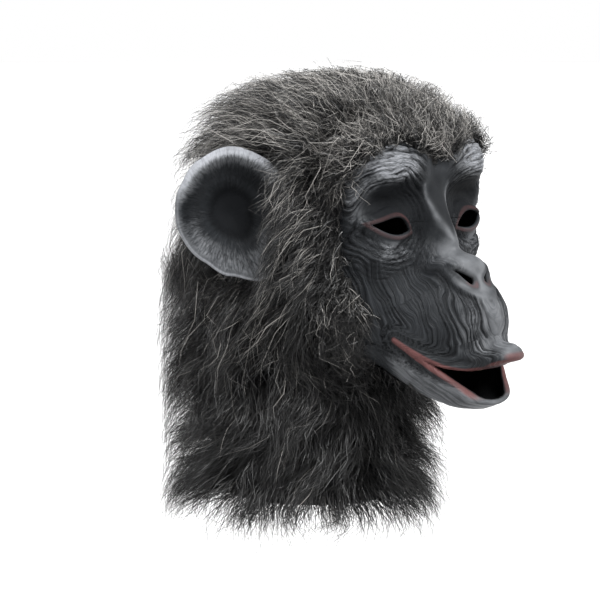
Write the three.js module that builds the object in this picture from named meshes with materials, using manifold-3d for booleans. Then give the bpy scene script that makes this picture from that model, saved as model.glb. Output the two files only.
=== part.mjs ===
// Full-head ape mask: a moulded latex head, two cast ears, a band of teeth and five panels of faux fur.
// Shapes are worked out in a face frame: x to the wearer's left, f forward, z up from the eye line, in mm.
// The finished solids are moved so that the crown of the wearer's head, inside the mask, is the origin.
import * as THREE from "three";
import ManifoldModule from "manifold-3d";

const wasm = await ManifoldModule();
wasm.setup();

// Driving sizes of the head
const faceHalf = 80; // half width of the face at the cheekbones
const muzzleReach = 200; // the measure that depths along the face are shares of
const faceDrop = 150; // eye line to the underside of the chin
const wall = 2.5; // latex thickness
const seatGap = 0.35; // clearance kept between two pieces that are glued together
const crownForward = -14; // where the crown lies along f
const crownInner = 98.75; // height of the crown inside the shell
const neckRim = -245; // height of the latex rim at the neck

// Driving sizes of the fur
const furSlope = 0.78; // how fast the fur deepens away from the hairline at the sides
const furRise = 1.7; // the same over the forehead, where the hair stands up
const furEdge = 2.5; // depth of the fur at the hairline
const furHem = -256; // mean height of the hem
const lockCount = 24; // locks round the head
const lockLift = 8; // how far the tip of a lock stands off the row below
const lockValley = 7; // how deep the parting between two locks is
const seamGap = 0.5; // gap between two fur panels
const earClear = 2; // room kept free round an ear

const DEG = Math.PI / 180;
const clamp = (value, low, high) => Math.min(high, Math.max(low, value));
const mix = (from, to, share) => from + (to - from) * share;
const rows = (columns, table) => table.map((row) => Object.fromEntries(columns.map((key, i) => [key, row[i]])));

// Rounded forms that blend into the head: places and radii are shares of faceHalf, muzzleReach and faceDrop.
const FORMS = rows(
  ["name", "x", "f", "z", "rx", "rf", "rz", "pitch", "yaw", "blend", "sign"],
  [
    ["cranium", 0, -0.07, 0.02, 1.06, 0.52, 0.655, 0, 0, 0, 1],
    ["mid_face", 0, 0.15, -0.24, 0.93, 0.3, 0.56, 0, 0, 24, 1],
    ["forehead", 0, 0.33, 0.26, 0.5, 0.1, 0.2, 0, 0, 18, 1],
    ["brow_inner", 0.34, 0.41, 0.3, 0.27, 0.08, 0.13, -10, 10, 15, 1],
    ["brow_mid", 0.6, 0.4, 0.285, 0.26, 0.09, 0.15, -12, 22, 16, 1],
    ["brow_outer", 0.82, 0.31, 0.13, 0.13, 0.085, 0.23, 0, 32, 18, 1],
    ["eye_bag", 0.6, 0.375, -0.185, 0.28, 0.09, 0.125, 8, 16, 13, 1],
    ["bridge", 0, 0.46, -0.01, 0.1, 0.07, 0.24, -34, 0, 14, 1],
    ["muzzle", 0, 0.405, -0.52, 0.68, 0.385, 0.34, 14, 0, 24, 1],
    ["muzzle_front", 0, 0.585, -0.56, 0.46, 0.19, 0.26, 14, 0, 16, 1],
    ["nose_pad", 0, 0.615, -0.285, 0.26, 0.085, 0.085, -26, 0, 10, 1],
    ["nose_wing", 0.23, 0.595, -0.315, 0.16, 0.065, 0.075, 0, 25, 7, 1],
    ["upper_lip", 0, 0.755, -0.71, 0.34, 0.085, 0.055, 0, 0, 10, 1],
    ["lip_beak", 0, 0.85, -0.69, 0.18, 0.06, 0.05, 4, 0, 7, 1],
    ["lower_jaw", 0, 0.42, -0.69, 0.64, 0.41, 0.22, 30, 0, 16, 1],
    ["lower_lip", 0, 0.7, -0.93, 0.36, 0.105, 0.055, 8, 0, 10, 1],
    ["jaw_side", 0.58, 0.14, -0.46, 0.34, 0.27, 0.36, 16, 10, 20, 1],
    ["socket", 0.54, 0.505, 0.085, 0.29, 0.09, 0.115, 0, 12, 11, -1],
    ["lids", 0.58, 0.375, -0.03, 0.29, 0.09, 0.1, 0, 16, 7, 1],
  ],
);

/** How far a point is outside one rounded form, which is doubled left and right when it is off the middle. */
function outsideForm([x, f, z], form) {
  let px = (form.x > 0 ? Math.abs(x) : x) - form.x * faceHalf;
  let pf = f - form.f * muzzleReach;
  let pz = z - form.z * faceDrop;
  const [cy, sy] = [Math.cos(form.yaw * DEG), Math.sin(form.yaw * DEG)];
  [px, pf] = [cy * px - sy * pf, sy * px + cy * pf];
  const [cp, sp] = [Math.cos(form.pitch * DEG), Math.sin(form.pitch * DEG)];
  [pf, pz] = [cp * pf - sp * pz, sp * pf + cp * pz];
  const radii = [form.rx * faceHalf, form.rf * muzzleReach, form.rz * faceDrop];
  const scaled = Math.hypot(px / radii[0], pf / radii[1], pz / radii[2]) + 1e-6;
  const slope = Math.hypot(px / radii[0] ** 2, pf / radii[1] ** 2, pz / radii[2] ** 2) + 1e-9;
  return (scaled * (scaled - 1)) / slope;
}

/** How far a point is outside the moulded head, its forms blended one after another. */
function outsideHead(point) {
  let depth = outsideForm(point, FORMS[0]);
  for (const form of FORMS.slice(1)) {
    const other = outsideForm(point, form);
    if (form.sign > 0) {
      const share = clamp(0.5 + (0.5 * (depth - other)) / form.blend, 0, 1);
      depth = mix(depth, other, share) - form.blend * share * (1 - share);
    } else {
      const share = clamp(0.5 - (0.5 * (depth + other)) / form.blend, 0, 1);
      depth = mix(depth, -other, share) + form.blend * share * (1 - share);
    }
  }
  return depth;
}

const along = (from, way, reach) => from.map((value, i) => value + way[i] * reach);
const minus = (a, b) => a.map((value, i) => value - b[i]);
const cross = (a, b) => [a[1] * b[2] - a[2] * b[1], a[2] * b[0] - a[0] * b[2], a[0] * b[1] - a[1] * b[0]];
const unit = (a) => a.map((value) => value / (Math.hypot(...a) || 1));

/** The outermost reach of a ray, or of any path, at which a depth rule falls to the level asked for. */
function outermost(pathAt, rule, level, start, finest = 0.4) {
  let reach = start;
  let last = start;
  while (reach > 0) {
    const depth = rule(pathAt(reach)) - level;
    if (depth <= 0) break;
    last = reach;
    reach -= Math.max(0.35 * depth, finest);
  }
  let [inside, outside] = [Math.max(reach, 0), last];
  for (let i = 0; i < 14; i += 1) {
    const middle = (inside + outside) / 2;
    if (rule(pathAt(middle)) > level) outside = middle;
    else inside = middle;
  }
  return inside;
}

/** A closed skin put together from rings of points. */
class Skin {
  constructor() {
    this.points = [];
    this.faces = [];
  }

  ring(points) {
    const first = this.points.length;
    this.points.push(...points);
    return points.map((_, i) => first + i);
  }

  /** Fills between two rings of the same length, of double and single length, or of a ring and a point. */
  join(a, b) {
    const next = (ring, i) => ring[(i + 1) % ring.length];
    if (a.length === 1) return b.forEach((_, i) => this.faces.push([a[0], b[i], next(b, i)]));
    if (b.length === 1) return a.forEach((_, i) => this.faces.push([a[i], b[0], next(a, i)]));
    if (a.length === b.length) {
      return a.forEach((_, i) => this.faces.push([a[i], b[i], next(b, i)], [a[i], next(b, i), next(a, i)]));
    }
    return b.forEach((_, i) => {
      const [left, middle, right] = [a[2 * i], a[2 * i + 1], a[(2 * i + 2) % a.length]];
      this.faces.push([left, b[i], middle], [middle, b[i], next(b, i)], [middle, next(b, i), right]);
    });
  }

  volume() {
    const p = this.points;
    return this.faces.reduce((sum, [i, j, k]) => {
      const c = cross(p[j], p[k]);
      return sum + (p[i][0] * c[0] + p[i][1] * c[1] + p[i][2] * c[2]) / 6;
    }, 0);
  }

  body() {
    const faces = this.volume() > 0 ? this.faces : this.faces.map(([i, j, k]) => [i, k, j]);
    const mesh = new wasm.Mesh({
      numProp: 3,
      vertProperties: new Float32Array(this.points.flat()),
      triVerts: new Uint32Array(faces.flat()),
    });
    return new wasm.Manifold(mesh);
  }
}

/** A body through rings of points; an end ring of more than one point is closed with a fan. */
function loft(rings) {
  const skin = new Skin();
  const laid = rings.map((ring) => skin.ring(ring));
  for (let i = 1; i < laid.length; i += 1) skin.join(laid[i - 1], laid[i]);
  const cap = (ring, points, first) => {
    if (ring.length === 1) return;
    const middle = points.reduce((sum, p) => along(sum, p, 1 / points.length), [0, 0, 0]);
    const hub = skin.ring([middle]);
    if (first) skin.join(hub, ring);
    else skin.join(ring, hub);
  };
  cap(laid[0], rings[0], true);
  cap(laid[laid.length - 1], rings[rings.length - 1], false);
  return skin.body();
}

/** A round bead laid along a path on the head, with its radius given for each share of the path. */
function bead(path, radiusAt, sides) {
  const rings = path.map((point, i) => {
    const way = unit(minus(path[Math.min(i + 1, path.length - 1)], path[Math.max(i - 1, 0)]));
    const out = unit([0, 1, 2].map((axis) => {
      const step = [0, 0, 0];
      step[axis] = 0.5;
      return outsideHead(along(point, step, 1)) - outsideHead(along(point, step, -1));
    }));
    const across = unit(cross(way, out));
    const up = cross(across, way);
    const radius = radiusAt(i / (path.length - 1));
    return Array.from({ length: sides }, (_, k) => {
      const turn = (2 * Math.PI * k) / sides;
      return along(along(point, across, radius * Math.cos(turn)), up, radius * Math.sin(turn));
    });
  });
  return loft(rings);
}

const joined = (bodies) => bodies.reduce((sum, body) => sum.add(body));
const mirrored = (points) => points.map(([x, f, z]) => [-x, f, z]).reverse();
const pair = (make) => make((points) => points).add(make(mirrored));

// The head is meshed in rings about a line from its middle to the front of the muzzle
const headMiddle = [0, 50, -45];
const muzzleTilt = 14 * DEG;
const headMesh = { columns: 44, crowding: 0.3, rings: 14, polar: 76, skull: [87, 101, 117, 135, 157] };

/** The moulded head as a solid whose surface lies at the level asked for. */
function headBody(level) {
  const ahead = [0, Math.cos(muzzleTilt), -Math.sin(muzzleTilt)];
  const above = [0, Math.sin(muzzleTilt), Math.cos(muzzleTilt)];
  const surface = (polar, turn) => {
    const [c, s] = [Math.cos(polar * DEG), Math.sin(polar * DEG)];
    const way = [s * Math.sin(turn), c * ahead[1] + s * Math.cos(turn) * above[1], c * ahead[2] + s * Math.cos(turn) * above[2]];
    return along(headMiddle, way, outermost((reach) => along(headMiddle, way, reach), outsideHead, level, 230));
  };
  const ring = (polar, columns) => Array.from({ length: columns }, (_, i) => {
    const turn = (2 * Math.PI * i) / columns;
    return surface(polar, turn - headMesh.crowding * Math.sin(turn));
  });
  const faceRings = Array.from({ length: headMesh.rings }, (_, i) => ring((headMesh.polar * (i + 1)) / headMesh.rings, headMesh.columns));
  const skullRings = headMesh.skull.map((polar) => ring(polar, headMesh.columns / 2));
  return loft([[surface(0, 0)], ...faceRings, ...skullRings, [surface(180, 0)]]);
}

// The neck under the skull, as ellipses at a few heights
const NECK = rows(
  ["z", "f", "rx", "rf"],
  [
    [-45, -36, 56, 56],
    [-85, -40, 69, 69],
    [-150, -44, 72, 72],
    [-205, -46, 74, 74],
    [neckRim, -46, 78, 78],
  ],
);
const neckColumns = 22;

/** The neck as a solid, grown by the level asked for and carried on below its rim. */
function neckBody(level, below = 0) {
  const rim = NECK[NECK.length - 1];
  const sections = below > 0 ? [...NECK, { ...rim, z: rim.z - below }] : NECK;
  return loft(sections.map((section) => Array.from({ length: neckColumns }, (_, k) => {
    const turn = (2 * Math.PI * k) / neckColumns;
    const grown = level / Math.cos(Math.PI / neckColumns);
    return [(section.rx + grown) * Math.sin(turn), section.f + (section.rf + grown) * Math.cos(turn), section.z];
  })));
}

// The mouth seen from the side: how high its upper and lower edges are at each depth, in shares
const MOUTH = rows(
  ["f", "upper", "lower"],
  [
    [0.485, -0.64, -0.64],
    [0.54, -0.679, -0.683],
    [0.605, -0.72, -0.745],
    [0.68, -0.761, -0.833],
    [0.75, -0.779, -0.913],
    [0.8, -0.767, -0.973],
    [0.86, -0.729, -1.04],
    [0.92, -0.71, -1.06],
    [1.03, -0.71, -1.066],
  ],
);
const mouthCornerF = MOUTH[0].f * muzzleReach;
const lipRoll = 3.6; // radius of the rolled edge of a lip
const lipSteps = 8;

/** Height of one edge of the mouth at a depth along the face. */
function mouthEdge(f, edge) {
  const share = f / muzzleReach;
  const after = clamp(MOUTH.findIndex((row) => row.f > share), 1, MOUTH.length - 1);
  const [a, b] = [MOUTH[after - 1], MOUTH[after]];
  return faceDrop * mix(a[edge], b[edge], clamp((share - a.f) / (b.f - a.f), 0, 1));
}

/** A body of one outline seen from the side, carried across the head. */
function acrossHead(outline, half) {
  return loft([-half, half].map((x) => outline.map(([f, z]) => [x, f, z])));
}

/** The path of one lip from the right corner of the mouth to the left. */
function lipPath(edge) {
  const corner = (x) => outsideHead([x, mouthCornerF, mouthEdge(mouthCornerF, edge)]);
  let [inside, outside] = [20, 80];
  for (let i = 0; i < 20; i += 1) {
    const middle = (inside + outside) / 2;
    if (corner(middle) > 0) outside = middle;
    else inside = middle;
  }
  return Array.from({ length: 2 * lipSteps + 1 }, (_, i) => {
    const x = inside * Math.sin((Math.PI / 2) * (i / lipSteps - 1));
    const pathAt = (reach) => [x, mouthCornerF + reach, mouthEdge(mouthCornerF + reach, edge)];
    return pathAt(outermost(pathAt, outsideHead, 0, 105, 0.8));
  });
}

const lipRadius = (grown) => (share) => grown + lipRoll * (0.5 + 0.5 * Math.sin(Math.PI * share));
const lips = (grown) => joined(["upper", "lower"].map((edge) => bead(lipPath(edge), lipRadius(grown), 5)));

// One eye opening: an almond that dips to its inner corner
const eyeOut = 48.5;
const eyeUp = -6.5;
const eyeHalf = 20.5;
const eyeTop = 11.5;
const eyeBottom = 6.5;
const eyeTilt = 12 * DEG;
const lidRoll = 1.9; // radius of the rolled edge of a lid

/** A point of the edge of the left eye opening, seen from the front. */
function eyeEdge(share, upper) {
  const skewed = share + 0.25 * (1 - share * share);
  const up = upper ? eyeTop * (1 - skewed * skewed) : -eyeBottom * (1 - share * share);
  const out = share * eyeHalf;
  const [c, s] = [Math.cos(eyeTilt), Math.sin(eyeTilt)];
  return [eyeOut + c * out - s * up, eyeUp + s * out + c * up];
}

const SHARES = [-1, -0.66, -0.22, 0.22, 0.66, 1];
const eyeOutline = [
  ...SHARES.map((share) => eyeEdge(share, true)),
  ...SHARES.slice(1, -1).reverse().map((share) => eyeEdge(share, false)),
];

/** A body of one outline seen from the front, carried along the head. */
function alongHead(outline, from, to, turned) {
  return loft([from, to].map((f) => turned(outline.map(([x, z]) => [x, f, z]))));
}

/** The point of the face that lies straight ahead of a place seen from the front. */
function onFace([x, z]) {
  const pathAt = (reach) => [x, reach, z];
  return pathAt(outermost(pathAt, outsideHead, 0, 140));
}

const lid = (upper) => {
  const path = SHARES.map((share) => onFace(eyeEdge(share, upper)));
  const radius = (share) => lidRoll * (0.6 + 0.4 * Math.sin(Math.PI * share));
  return pair((turned) => bead(turned(path), radius, 5));
};

// One nostril: a drop that widens toward the middle of the nose
const nostrilOuter = { x: 20, z: -38.5, radius: 1.8 };
const nostrilInner = { x: 8.8, z: -48, radius: 4.3 };
const nostrilOutline = Array.from({ length: 10 }, (_, k) => {
  const turn = Math.atan2(nostrilInner.z - nostrilOuter.z, nostrilInner.x - nostrilOuter.x) + (k - 2) * 36 * DEG;
  const end = k < 5 ? nostrilInner : nostrilOuter;
  return [end.x + end.radius * Math.cos(turn), end.z + end.radius * Math.sin(turn)];
});

/** The moulded head: a hollow shell with the neck below it, open at the eyes, the nostrils, the mouth and the rim. */
function latexHead() {
  const outer = headBody(0).add(neckBody(0));
  const inner = headBody(-wall).add(neckBody(-wall, 4));
  const mouthOutline = [
    ...MOUTH.map((row) => [row.f * muzzleReach, row.upper * faceDrop]),
    ...MOUTH.slice(1).reverse().map((row) => [row.f * muzzleReach, row.lower * faceDrop]),
  ];
  const openings = [
    acrossHead(mouthOutline, 70),
    pair((turned) => alongHead(eyeOutline, 62, 130, turned)),
    pair((turned) => alongHead(nostrilOutline, 112, 152, turned)),
  ];
  const shell = openings.reduce((body, opening) => body.subtract(opening), outer.subtract(inner));
  return joined([shell, lips(0), lid(true), lid(false)]);
}

// The upper teeth: a band against the inside of the lip, from above the edge of the lip to just below it
const teethAbove = 7;
const teethBelow = 2.5;
const teethDeep = 5;
const teethFrom = 0.66;

/** The band of upper teeth. */
function upperTeeth() {
  const columns = MOUTH.filter((row) => row.f >= teethFrom);
  const outline = [
    ...columns.map((row) => [row.f * muzzleReach, row.upper * faceDrop + teethAbove]),
    ...columns.reverse().map((row) => [row.f * muzzleReach, row.upper * faceDrop - teethBelow]),
  ];
  const band = headBody(-wall - seatGap).subtract(headBody(-wall - seatGap - teethDeep));
  return band.intersect(acrossHead(outline, 60)).subtract(lips(seatGap));
}

// One ear, drawn on a plane that leaves the head outward and back
const earRoot = [88, -8, 0];
const earSplay = 43 * DEG; // turn of the ear's plane from straight out toward the back
const earHub = { u: 34, v: 0 };
const EAR_REACH = [43.4, 46.5, 51, 55, 53, 50, 43, 50, 58, 48, 42, 41.7]; // every 30 degrees from outward
const EAR = rows(
  ["share", "dish", "thick"],
  [
    [0.34, -14, 3],
    [0.62, -3, 3],
    [0.8, -3, 3],
    [0.92, 4.5, 5],
    [1, 2.5, 6],
  ],
);
const earColumns = 18;

/** A point of the left ear from its place on the ear's plane and its height toward the face. */
function earPoint(u, v, w) {
  const [c, s] = [Math.cos(earSplay), Math.sin(earSplay)];
  const cupped = w + 9 * Math.max(0, (u - 30) / 48) ** 2;
  return [earRoot[0] + c * u + s * cupped, earRoot[1] - s * u + c * cupped, earRoot[2] + v];
}

/** The edge of the ear in one direction from its hub. */
function earReach(turn) {
  const place = (turn / (30 * DEG) + EAR_REACH.length) % EAR_REACH.length;
  const [i, share] = [Math.floor(place), place % 1];
  return mix(EAR_REACH[i], EAR_REACH[(i + 1) % EAR_REACH.length], share * share * (3 - 2 * share));
}

/** Rings of one face of the ear, grown outward by the amount asked for. */
function earRings(side, grown) {
  return EAR.map((row) => Array.from({ length: earColumns }, (_, k) => {
    const turn = (2 * Math.PI * k) / earColumns;
    const reach = row.share * earReach(turn) + (row.share === 1 ? grown : 0);
    const height = side > 0 ? row.dish + grown : row.dish - row.thick - grown;
    return earPoint(earHub.u + reach * Math.cos(turn), earHub.v + reach * Math.sin(turn), height);
  }));
}

/** One ear as a dished plate with a rolled rim, before it is cut to the head. */
function earBody(turned, grown = 0) {
  const centre = (side) => [earPoint(earHub.u, earHub.v, side > 0 ? EAR[0].dish - 1 + grown : EAR[0].dish - 4 - grown)];
  const rings = [centre(1), ...earRings(1, grown), ...earRings(-1, grown).reverse(), centre(-1)];
  return loft(rings.map((ring) => turned(ring)));
}

/** The room in front of an ear that the fur leaves open. */
function earRoom(turned) {
  const outline = (w, share, shift) => Array.from({ length: earColumns }, (_, k) => {
    const turn = (2 * Math.PI * k) / earColumns;
    const reach = share * earReach(turn);
    return earPoint(Math.max(9, earHub.u + reach * Math.cos(turn)) + shift, earHub.v + reach * Math.sin(turn), w);
  });
  return loft([turned(outline(-17, 0.55, 0)), turned(outline(-2, 0.97, 0)), turned(outline(70, 1.25, 12))]);
}

// The hairline seen from the front, from the middle of the forehead down to the throat
const HAIRLINE = rows(
  ["x", "z"],
  [
    [0, 44],
    [16, 50],
    [34, 62],
    [52, 60],
    [68, 42],
    [76, 20],
    [78, -10],
    [72, -36],
    [66, -60],
    [62, -100],
    [48, -126],
    [20, -146],
    [0, -150],
  ],
);
const hairlineF = 60; // behind this depth all of the head is covered

/** How far a place on the head is outside the bare face; negative on the face. */
function pastHairline([x, f, z]) {
  const side = Math.abs(x);
  let nearest = Infinity;
  let bare = false;
  for (let i = 1; i < HAIRLINE.length; i += 1) {
    const [a, b] = [HAIRLINE[i - 1], HAIRLINE[i]];
    const [ex, ez] = [b.x - a.x, b.z - a.z];
    const share = clamp(((side - a.x) * ex + (z - a.z) * ez) / (ex * ex + ez * ez), 0, 1);
    nearest = Math.min(nearest, Math.hypot(side - a.x - ex * share, z - a.z - ez * share));
    if (a.z > z !== b.z > z && side < a.x + (ex * (z - a.z)) / ez) bare = !bare;
  }
  if (f < hairlineF) return Math.hypot(bare ? 0 : nearest, hairlineF - f);
  return bare ? -nearest : nearest;
}

// Outside of the fur: a cap over the skull and a barrel round the neck, blended
const furCap = { f: -17, z: 5, rx: 113, rf: 128, rz: 110, power: 2.7 };
const furBarrel = { f: -53, rx: 117, rf: 121, top: -40, taper: 0.008 };
const furBlend = 30;

/** How far a point is outside the full depth of the fur. */
function outsideFur(point) {
  const [x, f, z] = point;
  const shares = [x / furCap.rx, (f - furCap.f) / furCap.rf, (z - furCap.z) / furCap.rz];
  const cap = (shares.reduce((sum, share) => sum + Math.abs(share) ** furCap.power, 0) ** (1 / furCap.power) - 1) * furCap.rz;
  const narrowing = furBarrel.taper * Math.max(0, z - furBarrel.top) ** 2;
  const barrel = (Math.hypot(x / furBarrel.rx, (f - furBarrel.f) / furBarrel.rf) - 1) * furBarrel.rx + narrowing;
  const share = clamp(0.5 + (0.5 * (cap - barrel)) / furBlend, 0, 1);
  return mix(cap, barrel, share) - furBlend * share * (1 - share);
}

/** How far a point is outside the latex, the neck included. */
function outsideLatex(point) {
  const [x, f, z] = point;
  const after = clamp(NECK.findIndex((row) => row.z < z), 1, NECK.length - 1);
  const [a, b] = [NECK[after - 1], NECK[after]];
  const share = clamp((z - a.z) / (b.z - a.z), 0, 1);
  const radius = mix(a.rx, b.rx, share);
  const neck = Math.max(Math.hypot(x, f - mix(a.f, b.f, share)) - radius, z - NECK[0].z);
  return Math.min(outsideHead(point), neck);
}

// Rows of locks from the crown down to the hem, each row's end as a length along the head
const capArc = 172; // length from the crown to where the fur starts to hang straight
const furAxis = [0, -38, 10];
const TIER_ENDS = [70, 130, 188, 246, 306, 368, capArc + furAxis[2] - furHem];
const crownArc = 16;
const tipDrop = [10, 13, 15, 16, 17, 18, 13]; // how much lower a lock ends than the parting beside it

/** The line of sight out of the head for one place on the fur. */
function furRay(arc, turn) {
  const hanging = Math.max(0, arc - capArc);
  const lift = (Math.PI / 2) * (1 - Math.min(arc, capArc) / capArc);
  const origin = [0, furAxis[1] - 10 * Math.min(1, hanging / 120), furAxis[2] - hanging];
  return { origin, way: [Math.cos(lift) * Math.sin(turn), Math.cos(lift) * Math.cos(turn), Math.sin(lift)] };
}

/** A point on the outside of the fur, raised or sunk by the relief of its lock. */
function furPoint(arc, turn, relief) {
  const { origin, way } = furRay(arc, turn);
  const pathAt = (reach) => along(origin, way, reach);
  const skin = outermost(pathAt, outsideLatex, 0, 260);
  const full = outermost(pathAt, outsideFur, 0, 260);
  const place = pathAt(skin);
  const slope = mix(furSlope, furRise, clamp((place[2] - 25) / 35, 0, 1));
  const reach = Math.min(full, skin + furEdge + slope * pastHairline(place));
  return pathAt(reach + relief * clamp((reach - skin) / 22, 0, 1) * clamp(arc / 110, 0, 1));
}

/** All the fur as one solid, its locks in shingled rows, before it is cut to the head and into panels. */
function furBody() {
  const columns = 2 * lockCount;
  const ring = (arcAt, reliefAt) => Array.from({ length: columns }, (_, k) => {
    const turn = (2 * Math.PI * k) / columns;
    return furPoint(arcAt(k), turn, reliefAt(k));
  });
  const ridge = (k, tier) => (k + tier) % 2 === 0;
  const rings = [[furPoint(0, 0, 0)], ring(() => crownArc, () => 0)];
  TIER_ENDS.forEach((end, tier) => {
    const start = tier === 0 ? crownArc : TIER_ENDS[tier - 1];
    const uneven = (k) => 5 * Math.sin(k * 2.3 + tier * 1.7) * Math.cos(((k % (columns / 2)) * Math.PI) / (columns / 2));
    const tip = (k) => end + (ridge(k, tier) ? tipDrop[tier] : -0.4 * tipDrop[tier]) + uneven(Math.min(k, columns - k));
    rings.push(ring((k) => mix(start, end, 0.55), (k) => (ridge(k, tier) ? lockLift * 0.6 : -lockValley * 0.6)));
    rings.push(ring(tip, (k) => (ridge(k, tier) ? lockLift : -lockValley)));
    if (tier < TIER_ENDS.length - 1) {
      rings.push(ring((k) => tip(k) + 2, (k) => (ridge(k, tier) ? -lockValley * 0.5 : -lockValley)));
    }
  });
  const hem = Array.from({ length: columns }, (_, k) => {
    const turn = (2 * Math.PI * k) / columns;
    const section = NECK[NECK.length - 1];
    return [(section.rx + 6) * Math.sin(turn), section.f + (section.rf + 6) * Math.cos(turn), neckRim + 2];
  });
  return loft([...rings, hem]);
}

/** A wedge of room round the head between two turns from straight ahead, its sides drawn in by a margin. */
function wedge(fromTurn, toTurn, low, high, margin = seamGap / 2) {
  const reach = 420;
  const steps = 4;
  const [from, to] = [fromTurn * DEG, toTurn * DEG];
  const inset = margin / Math.sin(Math.min(Math.PI / 2, (to - from) / 2));
  const middle = (from + to) / 2;
  const hub = [inset * Math.sin(middle), furBarrel.f + inset * Math.cos(middle)];
  const outline = [hub, ...Array.from({ length: steps + 1 }, (_, i) => {
    const turn = mix(from, to, i / steps);
    return [hub[0] + reach * Math.sin(turn), hub[1] + reach * Math.cos(turn)];
  })];
  return loft([low, high].map((z) => outline.map(([x, f]) => [x, f, z])));
}

/** The room above a plane that falls from the back of the head to the forehead. */
function aboveCrownSeam(lift) {
  const [half, front, back, top] = [250, 300, -300, 300];
  const seam = (f) => 44 - 0.14 * f + lift;
  const ring = (f) => [[-half, f, seam(f)], [half, f, seam(f)], [half, f, top], [-half, f, top]];
  return loft([ring(front), ring(back)]);
}

const throatTurn = 40; // how far the throat panel reaches to each side, in degrees
const throatTop = -116;
const backTurn = 128; // where the side panels meet the back panel
const allBelow = -420;
const allAbove = 200;

/** The five fur panels. */
function furPanels() {
  const cut = [headBody(seatGap), neckBody(seatGap, 120), pair((t) => earBody(t, earClear)), pair((t) => earRoom(t))];
  const fur = cut.reduce((body, tool) => body.subtract(tool), furBody());
  const lower = fur.subtract(aboveCrownSeam(-seamGap / 2));
  const sides = lower.subtract(wedge(-throatTurn, throatTurn, allBelow, throatTop + seamGap, -seamGap / 2));
  return {
    fur_crown: fur.intersect(aboveCrownSeam(seamGap / 2)),
    fur_side_left: sides.intersect(wedge(0, backTurn, allBelow, allAbove)),
    fur_side_right: sides.intersect(wedge(-backTurn, 0, allBelow, allAbove)),
    fur_back: lower.intersect(wedge(backTurn, 360 - backTurn, allBelow, allAbove)),
    fur_throat: lower.intersect(wedge(-throatTurn, throatTurn, allBelow, throatTop)),
  };
}

const LATEX = new THREE.MeshStandardMaterial({ name: "latex", color: 0x2f3032, roughness: 0.6, metalness: 0 });
const FUR = new THREE.MeshStandardMaterial({ name: "fur", color: 0x1c1a19, roughness: 0.95, metalness: 0 });
const TEETH = new THREE.MeshStandardMaterial({ name: "teeth", color: 0xb3a983, roughness: 0.35, metalness: 0 });

/** Keeps the largest separate body, so that a crumb left by a cut isn't part of a piece. */
function largest(body) {
  const parts = body.decompose();
  return parts.sort((a, b) => b.volume() - a.volume())[0];
}

/** A named mesh in the frame of the finished part. */
function piece(name, body, material) {
  const { vertProperties, triVerts } = largest(body).getMesh();
  const points = [];
  for (let i = 0; i < vertProperties.length; i += 3) {
    const [x, f, z] = vertProperties.slice(i, i + 3);
    points.push(x, crownForward - f, z - crownInner);
  }
  const geometry = new THREE.BufferGeometry();
  geometry.setAttribute("position", new THREE.Float32BufferAttribute(points, 3));
  geometry.setIndex(Array.from(triVerts).reverse());
  geometry.computeVertexNormals();
  const mesh = new THREE.Mesh(geometry, material);
  mesh.name = name;
  return mesh;
}

const group = new THREE.Group();
group.name = "ape_mask";
group.add(piece("latex_head", latexHead(), LATEX));
group.add(piece("upper_teeth", upperTeeth(), TEETH));
group.add(piece("ear_left", earBody((p) => p).subtract(headBody(seatGap)), LATEX));
group.add(piece("ear_right", earBody(mirrored).subtract(headBody(seatGap)), LATEX));
for (const [name, body] of Object.entries(furPanels())) group.add(piece(name, body, FUR));

export default group;
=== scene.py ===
"""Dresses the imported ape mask: a moulded latex head, two cast ears, a band of teeth and long faux fur.

The forms are drawn in the face frame, x to the wearer's left, f forward and z up from the eye line, in
millimetres. They are moved into the part's own frame, in metres, when a mesh is made.
"""
from __future__ import annotations

import logging
from collections.abc import Callable
from dataclasses import dataclass, field
from enum import Enum
from math import cos, pi, radians, sin

import bpy
import numpy as np
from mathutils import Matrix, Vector

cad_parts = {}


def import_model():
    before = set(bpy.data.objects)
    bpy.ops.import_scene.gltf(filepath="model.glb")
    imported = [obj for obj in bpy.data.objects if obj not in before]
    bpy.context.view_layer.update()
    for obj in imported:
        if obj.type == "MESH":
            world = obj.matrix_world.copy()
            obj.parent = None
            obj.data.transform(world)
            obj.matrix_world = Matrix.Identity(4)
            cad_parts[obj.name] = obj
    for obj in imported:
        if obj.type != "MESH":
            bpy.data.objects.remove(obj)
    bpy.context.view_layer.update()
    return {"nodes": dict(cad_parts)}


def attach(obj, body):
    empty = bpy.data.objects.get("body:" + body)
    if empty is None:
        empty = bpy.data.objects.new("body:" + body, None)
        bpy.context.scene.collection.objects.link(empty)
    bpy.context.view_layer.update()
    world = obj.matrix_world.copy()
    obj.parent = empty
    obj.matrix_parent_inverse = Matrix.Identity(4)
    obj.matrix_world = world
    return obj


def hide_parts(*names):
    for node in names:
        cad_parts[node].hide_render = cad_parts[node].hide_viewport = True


log = logging.getLogger("ape_mask")

Rule = Callable[[np.ndarray], np.ndarray]
Pair = tuple[float, float]
Offsets = tuple[np.ndarray, np.ndarray, np.ndarray]
MM = 0.001


def smooth(value: np.ndarray, low: float, high: float) -> np.ndarray:
    """Rises softly from 0 at low to 1 at high."""
    share = np.clip((value - low) / (high - low), 0, 1)
    return share * share * (3 - 2 * share)


def unit(vectors: np.ndarray) -> np.ndarray:
    """Vectors of length 1 in the same directions."""
    return vectors / (np.linalg.norm(vectors, axis=-1, keepdims=True) + 1e-9)


def slope(rule: Rule, points: np.ndarray, step: float = 0.4) -> np.ndarray:
    """The direction in which a rule grows fastest.

    Args:
        rule: the depth rule.
        points: places in the face frame.
        step: half the distance over which the growth is measured, in mm.

    Returns:
        Unit vectors, one for each place.
    """
    growth = [rule(points + step * axis) - rule(points - step * axis) for axis in np.eye(3)]
    return unit(np.stack(growth, -1))


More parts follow.
